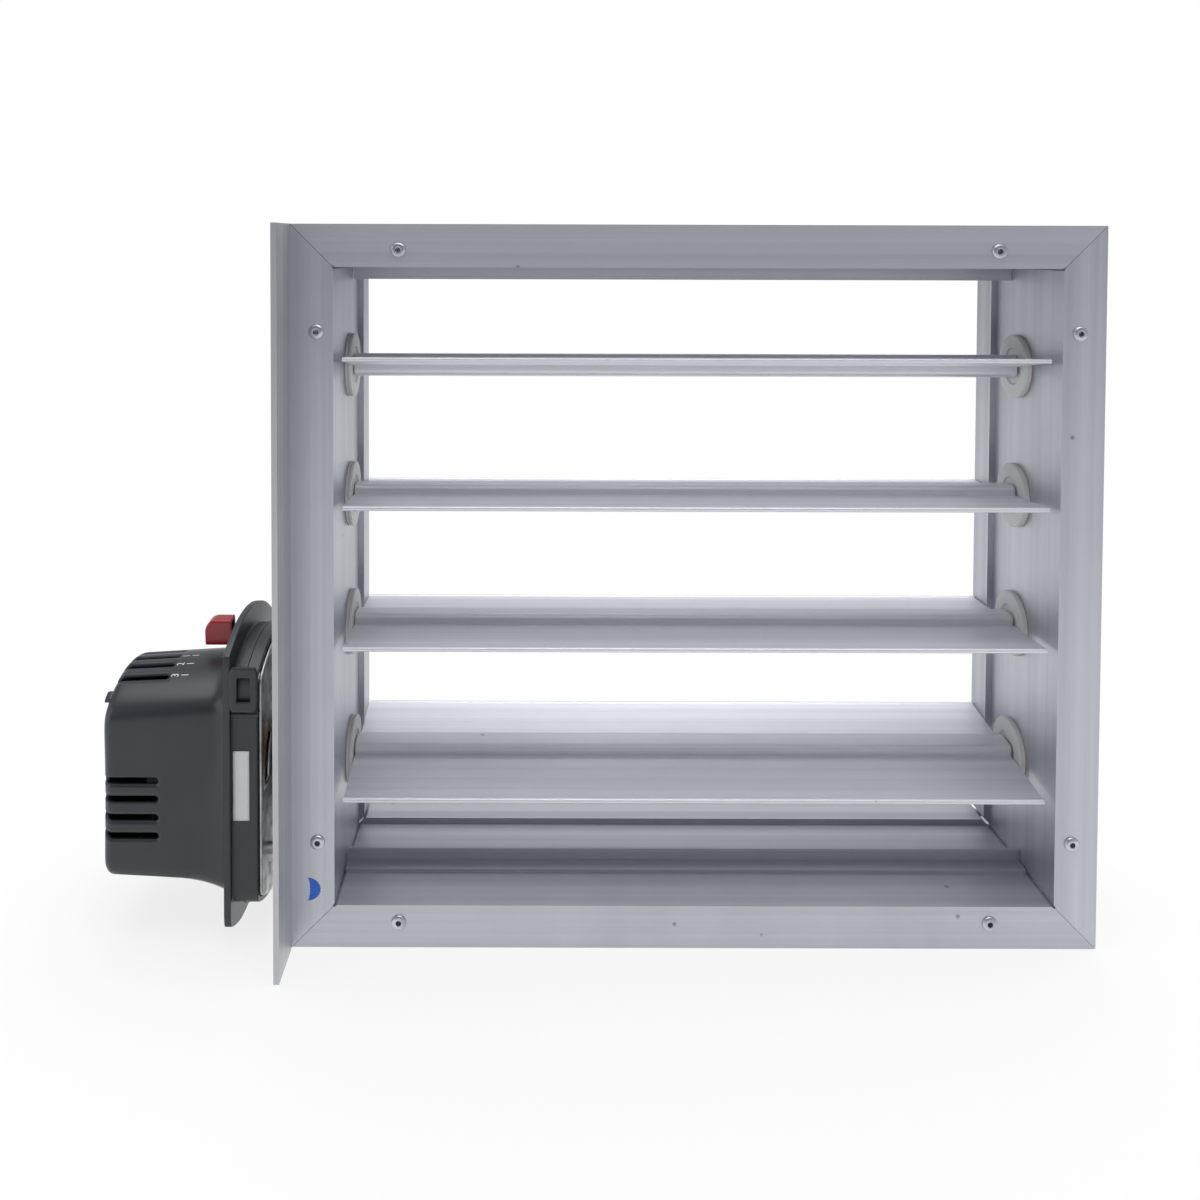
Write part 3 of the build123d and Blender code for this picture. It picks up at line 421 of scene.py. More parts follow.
@dataclass
class Studio:
    """A white floor, a white surround and three soft lamps."""

    floor_size: float = 6.0
    floor_drop: float = 0.0004

    def build(self) -> None:
        """Makes the floor, the lamps and the world."""
        self.floor()
        self.lamp("top_softbox", (0.1, 0.1, 1.3), (0, 0, 0), 1.6, 21.0)
        self.lamp("left_softbox", (-1.4, -0.5, 0.5), (0, 0, 0.05), 1.0, 4.0)
        self.lamp("right_softbox", (1.4, -0.7, 0.45), (0, 0, 0.05), 1.0, 1.2)
        self.world()

    def floor(self) -> None:
        """A plane that shows white to the camera and keeps a soft shadow."""
        half = self.floor_size / 2
        low = -self.floor_drop
        mesh = bpy.data.meshes.new("floor")
        corners = [(-half, -half, low), (half, -half, low), (half, half, low), (-half, half, low)]
        mesh.from_pydata(corners, [], [(0, 1, 2, 3)])
        floor = bpy.data.objects.new("floor", mesh)
        bpy.context.collection.objects.link(floor)
        material = bpy.data.materials.new("floor_white")
        material.use_nodes = True
        tree = Tree(material.node_tree)
        nodes = material.node_tree.nodes
        nodes.clear()
        paper = tree.add("ShaderNodeBsdfDiffuse")
        paper.inputs["Color"].default_value = (0.9, 0.9, 0.9, 1)
        glow = tree.add("ShaderNodeEmission")
        path = tree.add("ShaderNodeLightPath")
        place = tree.add("ShaderNodeTexCoord").outputs["Object"]
        span = tree.add("ShaderNodeVectorMath", operation="LENGTH")
        tree.link(place, span.inputs[0])
        bare = tree.ramp(span.outputs["Value"], 0.3, 1.1, 0.8, 1.0)
        to_camera = tree.math("MULTIPLY", path.outputs["Is Camera Ray"], bare)
        to_gloss = tree.math("MULTIPLY", path.outputs["Is Glossy Ray"], 0.95)
        seen = tree.math("MAXIMUM", to_camera, to_gloss)
        mix = tree.add("ShaderNodeMixShader")
        tree.link(seen, mix.inputs[0])
        tree.link(paper.outputs[0], mix.inputs[1])
        tree.link(glow.outputs[0], mix.inputs[2])
        out = tree.add("ShaderNodeOutputMaterial")
        tree.link(mix.outputs[0], out.inputs[0])
        mesh.materials.append(material)

    def lamp(self, name: str, place: Triple, aim: Triple, size: float, power: float) -> None:
        """A square soft lamp that points at a place."""
        data = bpy.data.lights.new(name, "AREA")
        data.shape = "SQUARE"
        data.size = size
        data.energy = power
        lamp = bpy.data.objects.new(name, data)
        lamp.location = place
        lamp.rotation_euler = (Vector(aim) - Vector(place)).to_track_quat("-Z", "Y").to_euler()
        bpy.context.collection.objects.link(lamp)

    def world(self) -> None:
        """White to the camera, and a grey room with a brighter ceiling to everything else."""
        world = bpy.data.worlds.new("studio")
        bpy.context.scene.world = world
        world.use_nodes = True
        tree = Tree(world.node_tree)
        world.node_tree.nodes.clear()
        place = tree.add("ShaderNodeTexCoord").outputs["Generated"]
        split = tree.add("ShaderNodeSeparateXYZ")
        tree.link(place, split.inputs[0])
        rise = tree.ramp(split.outputs["Z"], -0.2, 0.9, 0.0, 1.0)
        room = tree.blend(rise, (0.19, 0.20, 0.24, 1), (0.78, 0.79, 0.83, 1))
        side = tree.ramp(split.outputs["X"], -0.9, 0.7, 0.34, 0.62)
        tinted = tree.add("ShaderNodeVectorMath", operation="SCALE")
        tree.link(room, tinted.inputs[0])
        tree.link(side, tinted.inputs["Scale"])
        back = tree.ramp(split.outputs["Y"], -0.1, 0.5)
        room = tree.blend(back, tinted.outputs[0], (0.50, 0.51, 0.54, 1))
        path = tree.add("ShaderNodeLightPath")
        colour = tree.blend(path.outputs["Is Camera Ray"], room, (1, 1, 1, 1))
        light = tree.add("ShaderNodeBackground")
        tree.link(colour, light.inputs["Color"])
        out = tree.add("ShaderNodeOutputWorld")
        tree.link(light.outputs[0], out.inputs[0])


# --- surfaces -----------------------------------------------------------------------------
def grid_faces(rows: int, columns: int, wrap_rows: bool, wrap_columns: bool, start: int = 0) -> np.ndarray:
    """Corner numbers of a grid's quads: each joins a point, the next in its row and the two beyond.

    Args:
        rows: points down the grid.
        columns: points along the grid.
        wrap_rows: whether the last row joins the first.
        wrap_columns: whether the last column joins the first.
        start: number of the grid's first point.

    Returns:
        An array of quads.
    """
    i, j = np.meshgrid(np.arange(rows - (not wrap_rows)), np.arange(columns - (not wrap_columns)), indexing="ij")
    beyond, after = (i + 1) % rows, (j + 1) % columns
    corners = (i * columns + j, i * columns + after, beyond * columns + after, beyond * columns + j)
    return np.stack(corners, axis=-1).reshape(-1, 4) + start


@dataclass
class Patch:
    """A grid of points that closes on itself or not."""

    points: np.ndarray
    wrap_rows: bool = False
    wrap_columns: bool = False
    gaps: np.ndarray | None = None

    def faces(self, start: int) -> np.ndarray:
        """The grid's quads, numbered from start, without those that gaps marks."""
        rows, columns = self.points.shape[:2]
        quads = grid_faces(rows, columns, self.wrap_rows, self.wrap_columns, start)
        return quads if self.gaps is None else quads[~self.gaps.ravel()]


def make_piece(
    name: str,
    patches: list[Patch],
    material: bpy.types.Material,
    body: str = "housing",
    solid: bool = True,
    crease: float = 34.0,
) -> bpy.types.Object:
    """Puts patches into one mesh that rides on a body.

    Args:
        name: the piece's name.
        patches: its surfaces.
        material: its finish.
        body: the body that it moves with.
        solid: whether the surfaces are closed, so that their outside is worked out.
        crease: edges sharper than this stay sharp, in degrees.

    Returns:
        The piece.
    """
    starts = np.cumsum([0] + [patch.points.shape[0] * patch.points.shape[1] for patch in patches])
    points = np.concatenate([patch.points.reshape(-1, 3) for patch in patches])
    faces = np.concatenate([patch.faces(start) for patch, start in zip(patches, starts)])
    mesh = bpy.data.meshes.new(name)
    mesh.from_pydata(points.tolist(), [], faces.tolist())
    work = bmesh.new()
    work.from_mesh(mesh)
    bmesh.ops.remove_doubles(work, verts=work.verts, dist=1e-6)
    if solid:
        bmesh.ops.recalc_face_normals(work, faces=work.faces)
    work.to_mesh(mesh)
    work.free()
    return place_piece(name, mesh, material, body, crease)


def place_piece(
    name: str, mesh: bpy.types.Mesh, material: bpy.types.Material, body: str, crease: float = 34.0
) -> bpy.types.Object:
    """Shades a mesh, gives it its finish and sets it on a body."""
    mesh.shade_smooth()
    mesh.set_sharp_from_angle(angle=math.radians(crease))
    mesh.materials.clear()
    mesh.materials.append(material)
    piece = bpy.data.objects.new(name, mesh)
    bpy.context.collection.objects.link(piece)
    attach(piece, body)
    LOG.info("made %s on %s", name, body)
    return piece


def turned_surface(
    profile: np.ndarray, centre: np.ndarray, axis: np.ndarray, side: np.ndarray, steps: int, closed: bool
) -> Patch:
    """A profile of (distance along the axis, radius) carried round the axis.

    A point is the centre, plus the distance times the axis, plus the radius times the
    direction that turns from side round the axis.

    Args:
        profile: rows of distance and radius.
        centre: where the axis starts.
        axis: the axis's direction.
        side: a direction square to the axis.
        steps: points round the axis.
        closed: whether the profile joins its own start.

    Returns:
        The surface.
    """
    turn = np.linspace(0, 2 * np.pi, steps, endpoint=False)
    out = np.cos(turn)[:, None] * side + np.sin(turn)[:, None] * np.cross(axis, side)
    points = centre + profile[:, 0, None, None] * axis + profile[:, 1, None, None] * out[None, :, :]
    return Patch(points, closed, True)


def tube(path: np.ndarray, radius: float, steps: int) -> Patch:
    """A round wire along a path, from a frame carried along by the path's own turn.

    At each point the wire's ring stands square to the tangent; the ring's first direction is
    the one nearest to the X axis.
    """
    tangent = np.gradient(path, axis=0)
    tangent /= np.linalg.norm(tangent, axis=1, keepdims=True)
    across = np.array([1.0, 0.0, 0.02]) - tangent * (tangent @ np.array([1.0, 0.0, 0.02]))[:, None]
    across /= np.linalg.norm(across, axis=1, keepdims=True)
    other = np.cross(tangent, across)
    turn = np.linspace(0, 2 * np.pi, steps, endpoint=False)
    ring = np.cos(turn)[None, :, None] * across[:, None, :] + np.sin(turn)[None, :, None] * other[:, None, :]
    sizes = np.full(len(path), radius)
    sizes[0] = sizes[-1] = 0.0
    return Patch(path[:, None, :] + sizes[:, None, None] * ring, False, True)


def middle(name: str) -> np.ndarray:
    """The middle of a node's box."""
    low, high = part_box(name)
    return (np.array(low) + np.array(high)) / 2


def spread(*parts: np.ndarray | float) -> np.ndarray:
    """Points from their X, Y and Z, each a number or an array, widened to one shape."""
    return np.stack(np.broadcast_arrays(*parts), axis=-1)


def thicken(piece: bpy.types.Object, wall: float) -> None:
    """Gives a piece made as one skin its wall, inwards from the skin."""
    solid = piece.modifiers.new("wall", "SOLIDIFY")
    solid.thickness = wall
    solid.offset = -1.0
    solid.use_even_offset = True


UP, ACROSS, ALONG = np.array([0.0, 0.0, 1.0]), np.array([1.0, 0.0, 0.0]), np.array([0.0, 1.0, 0.0])


# --- fasteners and bearings ---------------------------------------------------------------
@dataclass
class BlindRivets:
    """Set blind rivets round both flanges: a domed head with the broken mandrel sunk in it."""

    inset: float = 50 * MM
    line: float = 12 * MM
    head: float = 3.5 * MM
    rise: float = 1.3 * MM
    bore: float = 1.25 * MM
    sink: float = 2.2 * MM
    shank: float = 2.0 * MM
    reach: float = 8.0 * MM
    steps: int = 40

    def profile(self) -> np.ndarray:
        """Head, rounded lip, sunk bore, mandrel and shank: a quarter wave from rim to lip."""
        arc = np.linspace(0, np.pi / 2, 9)
        mouth = self.bore * 1.35
        dome = np.stack([self.rise * np.sin(arc) ** 0.8, mouth + (self.head - mouth) * np.cos(arc)], 1)
        lip = np.stack([self.rise - 0.18 * MM * (1 - np.cos(arc)), mouth - self.bore * 0.35 * np.sin(arc)], 1)
        well = np.array([(-1, 0.98), (-1, 0.6), (-0.75, 0.3), (-0.7, 0)]) * (self.sink, self.bore)
        tail = np.array([(-1, 0), (-1, 1.3), (-0.68, 1.35), (-0.62, 1), (0, 1)]) * (self.reach, self.shank)
        return np.concatenate([tail, dome, lip, well])

    def places(self) -> np.ndarray:
        """(X, Z) of the eight rivets: two in each rail, inset from its ends."""
        low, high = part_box("frame_bottom")
        left, right, top = low[0], high[0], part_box("frame_top")[1][2]
        wide = [(x, z) for x in (left + self.inset, right - self.inset) for z in (self.line, top - self.line)]
        tall = [(x, z) for x in (left + self.line, right - self.line) for z in (self.inset, top - self.inset)]
        return np.array(wide + tall)

    def build(self, material: bpy.types.Material) -> None:
        """Makes both groups in place of the plain ones."""
        low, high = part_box("frame_bottom")
        for node, face, out in (("front_rivets", low[1], -ALONG), ("rear_rivets", high[1], ALONG)):
            centres = [np.array([x, face, z]) for x, z in self.places()]
            patches = [turned_surface(self.profile(), centre, out, UP, self.steps, False) for centre in centres]
            piece = make_piece(node.replace("rivets", "blind_rivets"), patches, material)
            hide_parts(node)


class Rim(Enum):
    """The edge of a bearing disc."""

    PLAIN = "right"
    GROOVED = "left"


@dataclass
class Bearings:
    """Moulded bearing discs at both jambs, with a dished face where the blade's boss ends."""

    disc: float = 16.0 * MM
    thick: float = 3.0 * MM
    neck: float = 7.5 * MM
    barb: float = 8.7 * MM
    barb_start: float = 5 * MM
    bore: float = 4.55 * MM
    dish: float = 9.4 * MM
    sink: float = 0.7 * MM
    reach: float = 7.0 * MM
    steps: int = 72

    def profile(self, rim: Rim) -> np.ndarray:
        """The section from the bore out over the face, round the rim and back along the neck."""
        arc = np.linspace(0, np.pi / 2, 6)
        face = [
            (self.sink, self.bore),
            (self.sink, self.dish - 0.8 * MM),
            (self.sink * 0.4, self.dish - 0.2 * MM),
            (0, self.dish),
        ]
        corner = 0.9 * MM if rim is Rim.PLAIN else 0.35 * MM
        edge = np.stack([corner * (1 - np.cos(arc)), self.disc - corner + corner * np.sin(arc)], 1)
        groove = []
        if rim is Rim.GROOVED:
            half, floor = self.thick / 2, self.disc - 0.8 * MM
            groove = [
                (half - 0.4 * MM, self.disc),
                (half - 0.3 * MM, floor),
                (half + 0.3 * MM, floor),
                (half + 0.4 * MM, self.disc),
            ]
        back = [
            (self.thick - 0.3 * MM, self.disc),
            (self.thick, self.disc - 0.3 * MM),
            (self.thick, self.neck),
            (self.barb_start, self.neck),
            (self.barb_start, self.barb),
            (self.barb_start + 0.4 * MM, self.barb),
            (self.reach, self.neck),
            (self.reach, self.bore),
        ]
        parts = [np.array(face), edge, np.array(groove).reshape(-1, 2), np.array(back)]
        return np.concatenate(parts)

    def build(self, material: bpy.types.Material) -> None:
        """Makes one bush for each bearing node and stands it in for the node."""
        for node in sorted(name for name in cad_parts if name.startswith("bearing_")):
            rim = Rim.PLAIN if "right" in node else Rim.GROOVED
            out = ACROSS if rim is Rim.PLAIN else -ACROSS
            low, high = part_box(node)
            centre = middle(node)
            centre[0] = low[0] if rim is Rim.PLAIN else high[0]
            patch = turned_surface(self.profile(rim), centre, out, UP, self.steps, True)
            piece = make_piece(node.replace("bearing", "bearing_disc"), [patch], material)
            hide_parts(node)


@dataclass
class PlateScrews:
    """Pan-head screws with a cross recess, in the side plate."""

    head: float = 3.5 * MM
    rise: float = 1.6 * MM
    shank: float = 1.75 * MM
    length: float = 8.0 * MM
    slot_half: float = 0.45 * MM
    slot_reach: float = 1.9 * MM
    slot_depth: float = 0.9 * MM
    rows: int = 22
    steps: int = 64

    def arm(self, a: np.ndarray, b: np.ndarray) -> np.ndarray:
        """One arm of the cross: 1 where a is within its half width and b within its reach, 0 beyond."""
        wide = 1 / (1 + np.exp((np.abs(a) - self.slot_half) / (0.06 * MM)))
        return wide * 1 / (1 + np.exp((np.abs(b) - self.slot_reach) / (0.08 * MM)))

    def surface(self, place: np.ndarray) -> list[Patch]:
        """A dome over radius and angle, less a cross whose depth fades at its edges.

        Height is the rise times one minus the fourth power of the radius share; the cross takes
        away its depth where either slot is nearer than half its width.
        """
        radius = np.linspace(0, self.head, self.rows)[:, None]
        turn = np.linspace(0, 2 * np.pi, self.steps, endpoint=False)[None, :]
        across, along = radius * np.cos(turn), radius * np.sin(turn)
        height = self.rise * (1 - 0.75 * (radius / self.head) ** 4) * np.ones_like(turn)
        height = height - self.slot_depth * np.maximum(self.arm(across, along), self.arm(along, across))
        cap = np.stack([place[0] - height, place[1] + across, place[2] + along], axis=-1)
        tip = -self.length - 0.8 * MM
        side = np.array([
            (self.rise * 0.25, self.head),
            (0, self.head),
            (0, self.shank),
            (-self.length, self.shank),
            (tip, 0),
        ])
        return [Patch(cap, False, True), turned_surface(side, place, -ACROSS, ALONG, self.steps, False)]

    def build(self, material: bpy.types.Material) -> None:
        """Makes the screws where the plain ones are: rows and columns of the node's box."""
        low, high = (np.array(corner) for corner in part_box("side_plate_screws"))
        heights = np.linspace(low[2] + self.head, high[2] - self.head, 4)
        columns = (low[1] + self.head, high[1] - self.head)
        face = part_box("side_plate")[0][0]
        patches = []
        for y in columns:
            for z in heights:
                patches += self.surface(np.array([face, y, z]))
        piece = make_piece("side_plate_pan_screws", patches, material, crease=40.0)
        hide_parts("side_plate_screws")


# --- blades -------------------------------------------------------------------------------
@dataclass
class Blades:
    """The four drawn blades: a thin plate with fine draw lines, a boss on its axis and beaded edges."""

    tilts: tuple[float, ...] = (7.0, -2.0, -3.5, -9.5)
    half_chord: float = 43.5 * MM
    plate: float = 0.8 * MM
    bead: float = 0.35 * MM
    bead_width: float = 2.4 * MM
    boss_half: float = 7.0 * MM
    boss_rise: float = 5.5 * MM
    boss_corner: float = 3.0 * MM
    line: float = 0.05 * MM
    line_pitch: float = 7.0 * MM
    steps: int = 361
    rows: int = 5

    def half_thickness(self, s: np.ndarray) -> np.ndarray:
        """Half the blade's thickness at each distance from its axis.

        It is the plate, plus a rounded bead at both edges, plus a narrow raised line every
        pitch, or the boss where that is thicker; the boss's corner is a quarter circle. At
        the very edge the thickness closes as a half circle.
        """
        reach = np.abs(s)
        bead = self.bead / (1 + np.exp((self.half_chord - self.bead_width - reach) / (0.12 * MM)))
        off = np.abs((reach / self.line_pitch + 0.5) % 1.0 - 0.5) * self.line_pitch
        line = self.line * np.exp(-((off / (0.3 * MM)) ** 2)) * (reach > self.boss_half + 1.5 * MM)
        flat = self.plate + bead + line
        over = np.clip(reach - (self.boss_half - self.boss_corner), 0, self.boss_corner)
        boss = self.boss_rise - self.boss_corner + np.sqrt(self.boss_corner**2 - over**2)
        body = np.where(reach < self.boss_half, np.maximum(boss, flat), flat)
        tip = np.clip(self.half_chord - reach, 0, self.plate + self.bead)
        round_tip = np.sqrt(np.clip((self.plate + self.bead) ** 2 - (self.plate + self.bead - tip) ** 2, 0, None))
        return np.where(tip < self.plate + self.bead, round_tip, body)

    def stations(self) -> np.ndarray:
        """Distances from the axis, closer together at the edges and at the boss's corners."""
        even = np.linspace(-self.half_chord, self.half_chord, self.steps)
        arc = np.cos(np.linspace(0, np.pi / 2, 9))
        corner = self.boss_half - self.boss_corner + self.boss_corner * (1 - arc**2) ** 0.5
        edge = self.half_chord - (self.plate + self.bead) * (1 - np.cos(np.linspace(0, np.pi / 2, 9)))
        wall = np.array([self.boss_half, self.boss_half + 0.001 * MM])
        return np.unique(np.concatenate([even, corner, -corner, edge, -edge, wall, -wall]))

    def build(self, material: bpy.types.Material) -> None:
        """Makes each blade at its own tilt, in place of its node."""
        s = self.stations()
        half = self.half_thickness(s)
        for number, tilt in enumerate(self.tilts, 1):
            node = f"blade_{number}"
            low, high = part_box(node)
            axis = middle(f"bearing_left_{number}")
            angle = math.radians(tilt)
            chord = math.cos(angle) * ALONG + math.sin(angle) * UP
            square = math.cos(angle) * UP - math.sin(angle) * ALONG
            along, off = np.concatenate([s, s[-2:0:-1]]), np.concatenate([half, -half[-2:0:-1]])
            around = along[:, None] * chord + off[:, None] * square
            x = np.linspace(low[0], high[0], self.rows)
            skin = np.array([0, axis[1], axis[2]]) + around[None] + x[:, None, None] * ACROSS
            under = np.concatenate([skin[:, :1], skin[:, : len(s) - 1 : -1], skin[:, len(s) - 1 : len(s)]], axis=1)
            ends = [Patch(np.stack([skin[k, : len(s)], under[k]])) for k in (0, -1)]
            body = "drive_blade" if number == 1 else f"upper_blade_{number}"
            patches = [Patch(skin, False, True)] + ends
            piece = make_piece(f"drawn_blade_{number}", patches, material, body, crease=40.0)
            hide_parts(node)


# --- the actuator's housing ---------------------------------------------------------------
def d_section(
    phi: np.ndarray, circle: np.ndarray | float, front: np.ndarray | float, low: np.ndarray | float, power: float
) -> np.ndarray:
    """Distance from the middle to a round outline cut flat in front and below.

    Phi turns from straight up to straight ahead. The circle, the front line and the bottom line
    each give a distance; the result is the soft least of the three: the sum of their inverses
    to a power, taken back to minus one over that power, which rounds the corners.
    """
    inverse = (1 / circle) ** power + (np.clip(np.sin(phi), 0, None) / front) ** power
    return (inverse + (np.clip(-np.cos(phi), 0, None) / low) ** power) ** (-1 / power)


@dataclass(frozen=True)
class Housing:
    """Where the actuator's round housing stands, from the shaft and the side plate."""

    forward: float = 8.0 * MM
    root_gap: float = 28.4 * MM
    tray_front: float = 35.5 * MM

    def centre(self) -> np.ndarray:
        """The middle of the housing, at the root of the cover."""
        axis = middle("bearing_left_1")
        return np.array([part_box("side_plate")[0][0] - self.root_gap, axis[1] - self.forward, axis[2]])

    def place(self, out: np.ndarray, radius: np.ndarray, phi: np.ndarray) -> np.ndarray:
        """Points at a distance out from the root, a radius and an angle from straight up to the front."""
        centre = self.centre()
        return spread(centre[0] - out, centre[1] - radius * np.sin(phi), centre[2] + radius * np.cos(phi))


HOUSING = Housing()


@dataclass
class Cover:
    """The deep cover: round behind, flat in front, tapered, flared at its root and slotted."""

    length: float = 59.5 * MM
    circle: float = 52.0 * MM
    front: float = 34.0 * MM
    corner: float = 45.5 * MM
    taper: float = 3.5 * MM
    edge: float = 5.0 * MM
    flare: float = 4.0 * MM
    wall: float = 2.2 * MM
    slot: float = 26.7 * MM
    slot_half: float = 1.8 * MM
    side_slots: tuple[float, ...] = (3.65, -5.15, -13.95, -22.75)
    top_slots: tuple[float, ...] = (17.6, 8.8, 0.0, -8.8, -17.6)
    arm: tuple[float, float] = (5.4 * MM, 10.1 * MM)
    sweep: tuple[float, float] = (-81.1, 3.9)

    def slot_angles(self) -> np.ndarray:
        """First and last angle of every slot: by height on the flat front, by width on the round top."""
        heights = np.array(self.side_slots) * MM
        edges = np.stack([heights + self.slot_half, heights - self.slot_half], 1)
        side = np.arctan2(self.front, edges)
        mid = np.arcsin(np.array(self.top_slots) * MM / (self.circle - self.taper / 2))
        half = self.slot_half / (self.circle - self.taper / 2)
        return np.concatenate([side, np.stack([mid - half, mid + half], 1)])

    def columns(self) -> tuple[np.ndarray, np.ndarray]:
        """Angles round the cover, with how far each slot's edge would move to reach its middle."""
        slots = self.slot_angles()
        even = np.radians(np.arange(-180.0, 180.0, 2.5))
        clear = np.all((even[:, None] < slots[:, 0] - 0.012) | (even[:, None] > slots[:, 1] + 0.012), axis=1)
        mid = slots.mean(axis=1)
        angles = np.concatenate([even[clear], slots[:, 0], slots[:, 1], mid, np.radians(self.sweep)])
        pull = np.concatenate([np.zeros(clear.sum()), mid - slots[:, 0], mid - slots[:, 1], np.zeros(len(mid) + 2)])
        order = np.argsort(angles)
        return angles[order], pull[order]

    def rows(self) -> tuple[np.ndarray, np.ndarray]:
        """Distance out from the root and inset of the section, row by row, up to the end's rounding."""
        start = self.length - self.slot
        bend = start + self.slot_half * (1 - np.cos(np.linspace(0, np.pi / 2, 7)))
        flare = np.array([0, 0.8, 1.6, 2.6, 3.8]) * MM
        between = np.array([12.5, 15.5, 19, 23, 27]) * MM
        middle_rows = np.concatenate([np.linspace(*self.arm, 4), between, start - np.array([3, 1]) * MM])
        far = np.linspace(start + 5 * MM, self.length - self.edge, 5)
        turn = np.linspace(0, np.pi / 2, 9)[1:]
        out = np.concatenate([flare, middle_rows, bend, far, self.length - self.edge * (1 - np.sin(turn))])
        inset = np.concatenate([np.zeros(len(out) - len(turn)), self.edge * (1 - np.cos(turn))])
        return out, inset

    def radius(self, out: np.ndarray, phi: np.ndarray) -> np.ndarray:
        """The section's radius at a distance out from the root.

        The circle shrinks evenly. Below the front the outline leaves it along the tangent that
        reaches the corner, so there the circle's distance is divided by the cosine from the
        tangent's normal. The flare adds its height times a falling power over its reach, and
        the reach grows towards the corner.
        """
        share = out / self.length
        circle = self.circle - self.taper * share
        corner = self.corner - self.taper * share
        normal = np.pi - np.arctan2(self.front, corner) + np.arccos(circle / np.hypot(self.front, corner))
        lean = np.clip(normal - phi, 0, 1.0) * (phi > np.radians(85))
        limit = circle / np.cos(lean)
        base = d_section(phi, limit, self.front, limit * 4, 26.0)
        reach = (9 + 15 * np.clip((np.degrees(phi) - 50) / 80, 0, 1) ** 1.5) * MM
        return base + self.flare * np.clip(1 - out / reach, 0, 1) ** 2.2

    def gaps(self, angles: np.ndarray, out: np.ndarray, caps: int) -> np.ndarray:
        """Marks the quads that lie in a slot: those between its two angles and its two distances.

        Args:
            angles: the columns' angles.
            out: the rows' distances from the root.
            caps: how many rows close the end.

        Returns:
            True for each quad that is left out.
        """
        near = 1e-6
        after = np.roll(angles, -1)
        slots, sweep = self.slot_angles(), np.radians(self.sweep)
        in_slot = (angles[:, None] >= slots[:, 0] - near) & (after[:, None] <= slots[:, 1] + near)
        within = np.any(in_slot, axis=1) & (after > angles)
        swept = (angles >= sweep[0] - near) & (after <= sweep[1] + near) & (after > angles)
        rows = np.concatenate([out, np.full(caps, 1.0)])
        row, below = rows[:-1, None], rows[1:, None]
        start = self.length - self.slot
        gaps = within & (row >= start - near * MM) & (below <= self.length + near * MM)
        return gaps | (swept & (row >= self.arm[0] - near * MM) & (below <= self.arm[1] + near * MM))

    def build(self, material: bpy.types.Material) -> None:
        """Makes the cover's skin with its slots, and gives it a wall."""
        angles, pull = self.columns()
        out, inset = self.rows()
        start = self.length - self.slot
        near = np.clip((out - start) / self.slot_half, 0, 1)
        before = 0.85 * np.clip(1 - (start - out) / (3 * MM), 0, 1)
        shut = np.where(out < start, before, 1 - np.sqrt(1 - (1 - near) ** 2))
        phi = angles[None, :] + pull[None, :] * np.minimum(shut, 0.97)[:, None]
        rings = out[:, None]
        radius = self.radius(rings, phi) - inset[:, None]
        cap = np.array([0.9, 0.75, 0.6, 0.4, 0.2, 0.0])[:, None]
        end = HOUSING.place(out[-1], radius[-1:] * cap, phi[-1:])
        skin = np.concatenate([HOUSING.place(rings, radius, phi), end])
        gaps = np.roll(self.gaps(angles, out, len(cap))[:, ::-1], -1, axis=1)
        patch = Patch(skin[:, ::-1], False, True, gaps)
        piece = make_piece("slotted_cover", [patch], material, solid=False)
        thicken(piece, self.wall)
        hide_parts("actuator_cover")
        self.catch(material)

    def catch(self, material: bpy.types.Material) -> None:
        """The small catch on the rounding of the cover's end: a low wedge with rounded sides."""
        phi = np.radians(np.linspace(27, 34, 9))[None, :]
        row = np.linspace(0, 1, 9)[:, None]
        out = self.length - 3.4 * MM + 5.2 * MM * row
        along = np.sin(np.pi * np.clip(row * 0.95, 0, 1)) ** 0.5
        across = np.clip(4 * np.sin(np.pi * (phi - phi.min()) / np.ptp(phi)), 0, 1) ** 0.5
        skin = self.radius(np.full_like(row, self.length), phi)
        top = HOUSING.place(out, skin - 3.2 * MM + 1.7 * MM * along * across, phi)
        floor = HOUSING.place(out, skin - 3.6 * MM, phi)
        pairs = [(top[0], floor[0]), (top[-1], floor[-1]), (top[:, 0], floor[:, 0]), (top[:, -1], floor[:, -1])]
        patches = [Patch(top), Patch(floor)] + [Patch(np.stack(pair)) for pair in pairs]
        piece = make_piece("cover_catch", patches, material)


